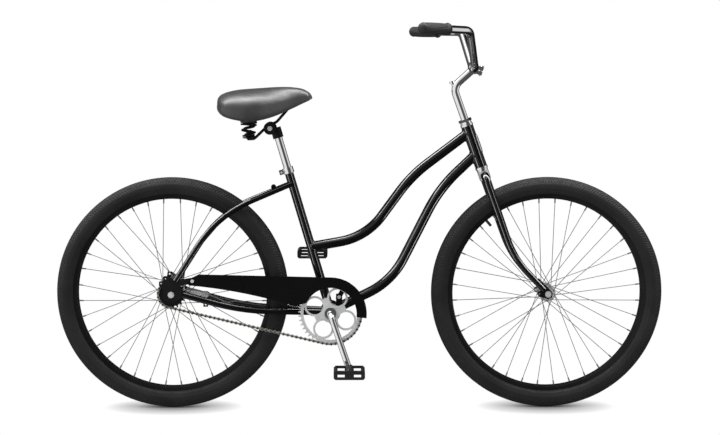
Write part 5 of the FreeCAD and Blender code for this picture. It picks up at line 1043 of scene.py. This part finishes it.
@dataclass(frozen=True)
class Saddle:
    """The padded cover, its edge welt and the pads that sit on the springs.

    Args:
        stations: sections, as ahead, half width, top and bottom in millimetres from the tilt axis.
        crest: share of the height that lies over the widest line.
        arch: greatest height of the hollow underneath, and its shares of the height and the width.
        hard: points whose sine lies below this sit on the pan.
        welt_places: shares of a turn where the right and the left half of the welt lie.
        pad: spring pad, as rows of height and radius.
    """

    stations: tuple[tuple[float, float, float, float], ...] = (
        (-151.0, 20.0, 77.0, 66.0), (-149.5, 47.0, 86.0, 55.5), (-145.0, 74.0, 92.5, 46.0),
        (-136.0, 95.0, 98.5, 36.0), (-120.0, 111.0, 104.5, 27.0), (-92.0, 120.0, 110.0, 19.0),
        (-60.0, 122.0, 112.0, 15.0), (-24.0, 110.0, 114.0, 18.5), (16.0, 80.0, 117.0, 30.0),
        (56.0, 50.0, 118.0, 48.0), (91.0, 34.0, 114.0, 66.0), (110.0, 24.0, 105.0, 76.0),
        (119.0, 13.0, 96.0, 82.5), (121.5, 5.0, 91.0, 86.0),
    )
    rows: int = 120
    columns: int = 96
    crest: float = 0.55
    side_power: float = 0.75
    under_power: float = 0.34
    arch: Triple = (0.012, 0.2, 0.8)
    hard: float = -0.55
    welt_places: Pair = (0.61, 0.89)
    welt_radius: float = 0.0014
    welt_columns: int = 14
    pad: tuple[Pair, ...] = (
        (0.0, 0.004), (0.0, 0.0196), (0.0006, 0.021), (0.002, 0.0215),
        (0.012, 0.0215), (0.016, 0.0215), (0.0165, 0.004),
    )
    pad_height: float = 0.0456
    pad_columns: int = 48

    def sections(self) -> Array:
        """Eases between the stations.

        Returns:
            Rows of ahead, half width, top and bottom in metres.
        """
        table = np.array(self.stations) * MILLIMETRE
        table = np.concatenate([2.0 * table[:1] - table[1:2], table, 2.0 * table[-1:] - table[-2:-1]])
        run = np.linspace(0.0, len(self.stations) - 1.0, self.rows)
        start = np.minimum(run.astype(int), len(self.stations) - 2)
        share = (run - start)[:, None]
        before, first, second, after = (table[start + step] for step in range(4))
        slope_first = 0.5 * (second - before)
        slope_second = 0.5 * (after - first)
        square = share * share
        cube = square * share
        eased = (2.0 * cube - 3.0 * square + 1.0) * first + (cube - 2.0 * square + share) * slope_first
        return eased + (3.0 * square - 2.0 * cube) * second + (cube - square) * slope_second

    def points(self) -> Array:
        """Draws the cover.

        Returns:
            Points as rows, columns and coordinates.
        """
        ahead, half, top, bottom = (column[:, None] for column in self.sections().T)
        angle = turns(self.columns)[None, :]
        cosine = np.cos(angle)
        sine = np.sin(angle)
        rise = top - bottom
        middle = top - self.crest * rise
        sideways = half * np.sign(cosine) * np.abs(cosine) ** self.side_power
        over = middle + self.crest * rise * np.abs(sine)
        under = middle - (1.0 - self.crest) * rise * np.abs(sine) ** self.under_power
        most, share, width = self.arch
        hollow = np.clip(1.0 - (sideways / (width * half)) ** 2, 0.0, 1.0)
        arch = np.minimum(most, share * rise) * hollow
        height = np.where(sine >= 0.0, over, under + arch)
        flat = np.stack(np.broadcast_arrays(ahead, sideways, height), axis=-1)
        return joint_vector("saddle_tilt") + flat

    def welt(self, points: Array) -> None:
        """Makes the welt along the lower edge of the cover.

        Args:
            points: the settled cover, as rows, columns and coordinates.
        """
        right_column, left_column = (int(share * self.columns) for share in self.welt_places)
        path = np.concatenate([points[2:-3, right_column], points[-3:1:-1, left_column]])
        outward = unit(path - path.mean(axis=0))
        tube = swept(path, outward, self.welt_radius, self.welt_columns, closed=True)
        place("saddle_welt", Grid(tube, ring=True), Slot.SADDLE_VINYL, Body.SADDLE)

    def spring_pads(self) -> None:
        """Makes the two cups above the springs."""
        for name, side in (("right_spring_pad", 1.0), ("left_spring_pad", -1.0)):
            foot = joint_vector("saddle_tilt") + SPRING_FOOT * np.array([1.0, side, 1.0])
            points = turned(np.array(self.pad), foot + self.pad_height * UP, UP, self.pad_columns)
            place(name, Grid(points), Slot.PEDAL_PLASTIC, Body.SADDLE)

    def build(self) -> None:
        """Makes the saddle."""
        mesh = Grid(self.points()).mesh("saddle_cover")
        around = np.tile(np.sin(turns(self.columns)) < self.hard, self.rows)
        Padding().swell(mesh, np.concatenate([around, [False, False]]))
        place("saddle_cover", mesh, Slot.SADDLE_VINYL, Body.SADDLE, "saddle_top")
        settled = read_points(mesh)[:self.rows * self.columns]
        self.welt(settled.reshape(self.rows, self.columns, 3))
        self.spring_pads()


@dataclass(frozen=True)
class Weld:
    """A bead where one tube meets another.

    Args:
        name: name of the bead.
        end: point on the tube's middle line.
        away: direction along the tube, away from the host.
        radius: radius of the tube.
        host_point: point on the host's middle line.
        host_axis: direction of the host.
        host_radius: radius of the host.
        ripple: height of a ripple, as a share of the bead.
    """

    name: str
    end: Array
    away: Array
    radius: float
    host_point: Array
    host_axis: Array
    host_radius: float
    bead: float = 0.0022
    ripples: int = 24
    ripple: float = 0.1
    steps: int = 96
    columns: int = 14

    def build(self) -> None:
        """Makes the bead along the line where the two tubes meet."""
        first = unit(np.cross(self.host_axis, self.away))
        second = np.cross(self.away, first)
        angles = turns(self.steps)[:, None]
        around = np.cos(angles) * first + np.sin(angles) * second
        start = self.end + self.radius * around
        offset = start - self.host_point
        offset = offset - (offset @ self.host_axis)[:, None] * self.host_axis
        heading = self.away - (self.away @ self.host_axis) * self.host_axis
        square = heading @ heading
        cross = offset @ heading
        free = np.sum(offset * offset, axis=1) - self.host_radius ** 2
        root = np.sqrt(np.maximum(cross * cross - square * free, 0.0))
        path = start + ((root - cross) / square)[:, None] * self.away
        swell = 1.0 + self.ripple * np.sin(self.ripples * angles)[:, :, None]
        tube = swept(path, around, self.bead, self.columns, closed=True)
        tube = path[:, None] + (tube - path[:, None]) * swell
        place(self.name, Grid(tube, ring=True), Slot.FRAME_PAINT, Body.FRAME)


class FrameDetails:
    """Weld beads of the frame and the blank plate on its head tube."""

    tube_radius: float = 0.0143
    seat_radius: float = 0.0127
    head_radius: float = 0.0175
    shell_radius: float = 0.0285
    head_start: float = 0.4048
    head_length: float = 0.1245
    low_rise: float = 0.195
    low_bend: Triple = (0.103, 0.0, 0.215)
    high_drop: float = 0.0195
    high_bend: Triple = (-0.159, 0.0, -0.143)
    down_rise: float = 0.0405
    down_bend: Triple = (-0.12, 0.0, -0.063)
    foot_bend: Triple = (0.177, 0.0, 0.0875)
    plate_middle: float = 0.066
    plate_half: float = 0.029
    plate_angle: float = 38.0
    plate_dome: float = 0.0022
    plate_back: float = 0.0001
    plate_rows: int = 40
    plate_columns: int = 64
    pole_share: float = 0.97
    side_power: float = 5.0
    dome_power: float = 6.0

    def __init__(self) -> None:
        """Takes the main lines of the frame from the joints."""
        self.bracket = joint_vector("crank_spin")
        self.steer = unit(joint_vector("steering", "axis"))
        self.seat = unit(joint_vector("seat_height", "axis"))
        self.head_bottom = joint_vector("steering") + self.head_start * self.steer
        self.head_top = self.head_bottom + self.head_length * self.steer

    def welds(self) -> None:
        """Makes the beads."""
        low_end = self.bracket + self.low_rise * self.seat
        low_away = unit(self.bracket + np.array(self.low_bend) - low_end)
        high_end = self.head_top - self.high_drop * self.steer
        high_away = unit(self.head_top + np.array(self.high_bend) - high_end)
        down_end = self.head_bottom + self.down_rise * self.steer
        down_away = unit(self.head_bottom + np.array(self.down_bend) - down_end)
        foot_away = unit(np.array(self.foot_bend))
        head_tube = (self.head_top, self.steer, self.head_radius)
        seat_tube = (self.bracket, self.seat, self.seat_radius)
        shell = (self.bracket, LEFT, self.shell_radius)
        Weld("top_tube_head_weld", high_end, high_away, self.tube_radius, *head_tube).build()
        Weld("top_tube_seat_weld", low_end, low_away, self.tube_radius, *seat_tube).build()
        Weld("down_tube_head_weld", down_end, down_away, self.tube_radius, *head_tube).build()
        Weld("down_tube_shell_weld", self.bracket, foot_away, self.tube_radius, *shell).build()
        Weld("seat_tube_shell_weld", *seat_tube, *shell).build()

    def head_plate(self) -> None:
        """Makes the blank plate on the front of the head tube."""
        forward = unit(np.cross(LEFT, self.steer))
        rise = np.sin(np.linspace(-0.5, 0.5, self.plate_rows) * math.pi * self.pole_share)
        width = np.radians(self.plate_angle) * np.sqrt(1.0 - np.abs(rise) ** self.side_power)
        around = turns(self.plate_columns)
        angle = width[:, None] * np.cos(around)[None, :]
        dome = self.plate_dome * np.sqrt(np.maximum(np.sin(around), 0.0))[None, :] + self.plate_back
        radius = self.head_radius + dome * (1.0 - np.abs(rise[:, None]) ** self.dome_power)
        height = self.plate_middle + self.plate_half * rise
        points = self.head_bottom + height[:, None, None] * self.steer
        points = points + radius[..., None] * np.cos(angle)[..., None] * forward
        points = points + radius[..., None] * np.sin(angle)[..., None] * LEFT
        place("head_plate", Grid(points), Slot.BRIGHT_CHROME, Body.FRAME)

    def build(self) -> None:
        """Makes all details of the frame."""
        self.welds()
        self.head_plate()


@dataclass(frozen=True)
class Studio:
    """White floor and surroundings, soft lamps and the camera."""

    camera_place: Triple = (-0.044, -5.25, 1.004)
    camera_tip: float = 85.05
    camera_turn: float = -0.49
    lens: float = 91.65
    sensor: float = 36.0
    floor_half: float = 20.0
    ambient: float = 0.5
    sun: float = 1.8
    strip: float = 1.0
    box_size: Pair = (10.0, 0.96)
    box_height: float = 3.0
    box_level: float = 18.0
    sheen: tuple[Slot, ...] = (
        Slot.TYRE_RUBBER, Slot.GRIP_RUBBER, Slot.SADDLE_VINYL, Slot.PEDAL_PLASTIC,
    )
    sharp_strip: float = 40.0
    sharp_bars: float = 22.0
    strip_shift: float = 0.02
    # half length and half depth of the oval round each tyre where the floor shows its shadow and painted
    # shade
    shadow: Pair = (0.2, 0.13)
    floor_drop: float = 0.0004
    floor_tone: float = 0.92
    # painted shade: how much darker the floor's colour is to the camera inside that oval
    painted_floor_shade: float = 0.6
    sun_width: float = 50.0
    sun_lean: Pair = (22.0, -6.0)
    far: float = 100.0

    def camera(self) -> None:
        """Sets the camera where the photograph was taken."""
        data = bpy.data.cameras.new("camera")
        data.lens = self.lens
        data.sensor_width = self.sensor
        data.clip_end = self.far
        camera = new_object("camera", data)
        camera.location = self.camera_place
        camera.rotation_euler = (math.radians(self.camera_tip), 0.0, math.radians(self.camera_turn))
        bpy.context.scene.camera = camera

    def seen(self, tree: NodeTree) -> tuple[Socket, ...]:
        """Tells which rays show the background.

        Args:
            tree: node tree to add to.

        Returns:
            Sockets that are 1 for camera and transmission rays, for glossy rays, and for sharp ones.
        """
        path = tree.add("ShaderNodeLightPath")
        plain = tree.math("MAXIMUM", path.outputs["Is Camera Ray"], path.outputs["Is Transmission Ray"])
        return plain, path.outputs["Is Glossy Ray"], path.outputs["Is Singular Ray"]

    def floor(self) -> None:
        """Lays a white floor that shows the real shadow only near each tyre, deepened there by painted
        shade.
        """
        mesh = bpy.data.meshes.new("floor")
        corners = np.array([[-1.0, -1.0, 0.0], [1.0, -1.0, 0.0], [1.0, 1.0, 0.0], [-1.0, 1.0, 0.0]])
        corners = self.floor_half * corners - self.floor_drop * UP
        mesh.from_pydata(corners.tolist(), [], [(0, 1, 2, 3)])
        floor = new_object("floor", mesh)
        material = bpy.data.materials.new("floor_white")
        tree = NodeTree(material)
        plain = self.seen(tree)[0]
        split = tree.add("ShaderNodeSeparateXYZ", {0: tree.add("ShaderNodeTexCoord").outputs["Object"]})
        axle = float(abs(joint_vector("front_wheel_spin")[0]))
        aside = tree.math("ABSOLUTE", split.outputs["X"])
        along = tree.math("DIVIDE", tree.math("SUBTRACT", aside, axle), self.shadow[0])
        across = tree.math("DIVIDE", split.outputs["Y"], self.shadow[1])
        away = tree.math("ADD", *(tree.math("MULTIPLY", reach, reach) for reach in (along, across)))
        # oval round each tyre's contact: inside, the diffuse floor with its real shadow; outside, a
        # plain white glow
        near = tree.ramp(away, ((0.0, WHITE), (0.3, (0.55, 0.55, 0.55)), (1.0, BLACK)))
        hidden = tree.math("MULTIPLY", plain, tree.math("SUBTRACT", 1.0, near))
        # painted shade: inside the oval the camera sees the floor's colour darkened, which deepens the
        # contact shadow
        tone = tree.math("SUBTRACT", self.floor_tone, tree.math("MULTIPLY", plain, self.painted_floor_shade))
        matt = tree.add("ShaderNodeBsdfDiffuse", {"Color": tone})
        glow = tree.add("ShaderNodeEmission", {"Color": (*WHITE, 1.0), "Strength": 1.0})
        both = tree.add("ShaderNodeMixShader", {"Fac": hidden, 1: matt.outputs[0], 2: glow.outputs[0]})
        tree.add("ShaderNodeOutputMaterial", {"Surface": both.outputs[0]})
        mesh.materials.append(material)
        floor.visible_glossy = False

    def surroundings(self) -> None:
        """Makes the world white to the camera, and a room with pale walls to shiny pieces."""
        world = bpy.data.worlds.new("studio")
        bpy.context.scene.world = world
        tree = NodeTree(world)
        plain, glossy, sharp = self.seen(tree)
        ways = tree.add("ShaderNodeTexCoord").outputs["Generated"]
        split = tree.add("ShaderNodeSeparateXYZ", {0: ways})
        dim = (0.09, 0.09, 0.09)
        pale = (0.75, 0.75, 0.75)
        bright = (0.9, 0.9, 0.9)
        sideways = tree.math("MULTIPLY", tree.math("ADD", split.outputs["X"], 1.0), 0.5)
        walls = tree.ramp(sideways, ((0.38, bright), (0.46, dim), (0.88, dim), (0.95, pale)))
        behind = tree.ramp(split.outputs["Y"], ((0.25, WHITE), (0.45, dim)))
        nearness = tree.math("ABSOLUTE", tree.math("ADD", split.outputs["Y"], self.strip_shift))
        wide = tree.ramp(nearness, ((0.2, WHITE), (0.28, BLACK)))
        broad = tree.math("MULTIPLY", tree.math("SUBTRACT", 1.0, sharp), self.strip, wide)
        slim = tree.ramp(nearness, ((0.14, WHITE), (0.19, BLACK)))
        narrow = tree.math("MULTIPLY", sharp, self.sharp_strip, slim)
        above = tree.ramp(split.outputs["Z"], ((0.36, BLACK), (0.5, WHITE)))
        overhead = tree.math("MULTIPLY", tree.math("ADD", broad, narrow), above)
        aside = tree.math("ABSOLUTE", split.outputs["X"])
        upright = tree.ramp(aside, ((0.72, BLACK), (0.75, WHITE), (0.8, WHITE), (0.83, BLACK)))
        ahead = tree.ramp(tree.math("MULTIPLY", split.outputs["Y"], -1.0), ((0.1, BLACK), (0.2, WHITE)))
        beside = tree.math("MULTIPLY", upright, ahead, sharp, self.sharp_bars)
        lit = tree.math("ADD", tree.math("MULTIPLY", walls, behind), beside, overhead)
        shown = tree.math("ADD", plain, tree.math("MULTIPLY", lit, glossy))
        unseen = tree.math("SUBTRACT", 1.0, tree.math("MAXIMUM", plain, glossy))
        level = tree.math("ADD", shown, tree.math("MULTIPLY", unseen, self.ambient))
        background = tree.add("ShaderNodeBackground", {"Color": (*WHITE, 1.0), "Strength": level})
        tree.add("ShaderNodeOutputWorld", {"Surface": background.outputs[0]})

    def lamps(self) -> None:
        """Hangs one wide soft lamp overhead, a little to the camera's side."""
        data = bpy.data.lights.new("overhead", "SUN")
        data.energy = self.sun
        data.angle = math.radians(self.sun_width)
        new_object("overhead", data).rotation_euler = (*np.radians(self.sun_lean), 0.0)

    def long_box(self) -> None:
        """Hangs a long soft box over the bicycle, for the sheen of rubber, vinyl and plastic alone."""
        data = bpy.data.lights.new("long_box", "AREA")
        data.shape = "RECTANGLE"
        data.size, data.size_y = self.box_size
        data.energy = self.box_level * math.pi * data.size * data.size_y
        lamp = new_object("long_box", data)
        lamp.location = (0.0, 0.0, self.box_height)
        lamp.visible_diffuse = False
        looks = {FINISHES[slot].material(slot.value) for slot in self.sheen}
        shining = bpy.data.collections.new("shining_pieces")
        for piece in bpy.context.scene.objects:
            if piece.active_material in looks:
                shining.objects.link(piece)
        lamp.light_linking.receiver_collection = shining

    def build(self) -> None:
        """Sets the studio up."""
        self.camera()
        self.floor()
        self.surroundings()
        self.lamps()
        self.long_box()
        bpy.context.scene.view_settings.view_transform = "Standard"


def main() -> None:
    """Dresses the bicycle."""
    logging.basicConfig(level=logging.INFO)
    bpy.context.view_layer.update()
    BuiltPieces().dress()
    Tyre("front_tyre", Body.FRONT_WHEEL, "front_wheel_spin").build()
    Tyre("rear_tyre", Body.REAR_WHEEL, "rear_wheel_spin").build()
    Grips().build()
    Chain().build()
    Springs().build()
    Saddle().build()
    FrameDetails().build()
    Studio().build()


if __name__ == "__main__":
    main()
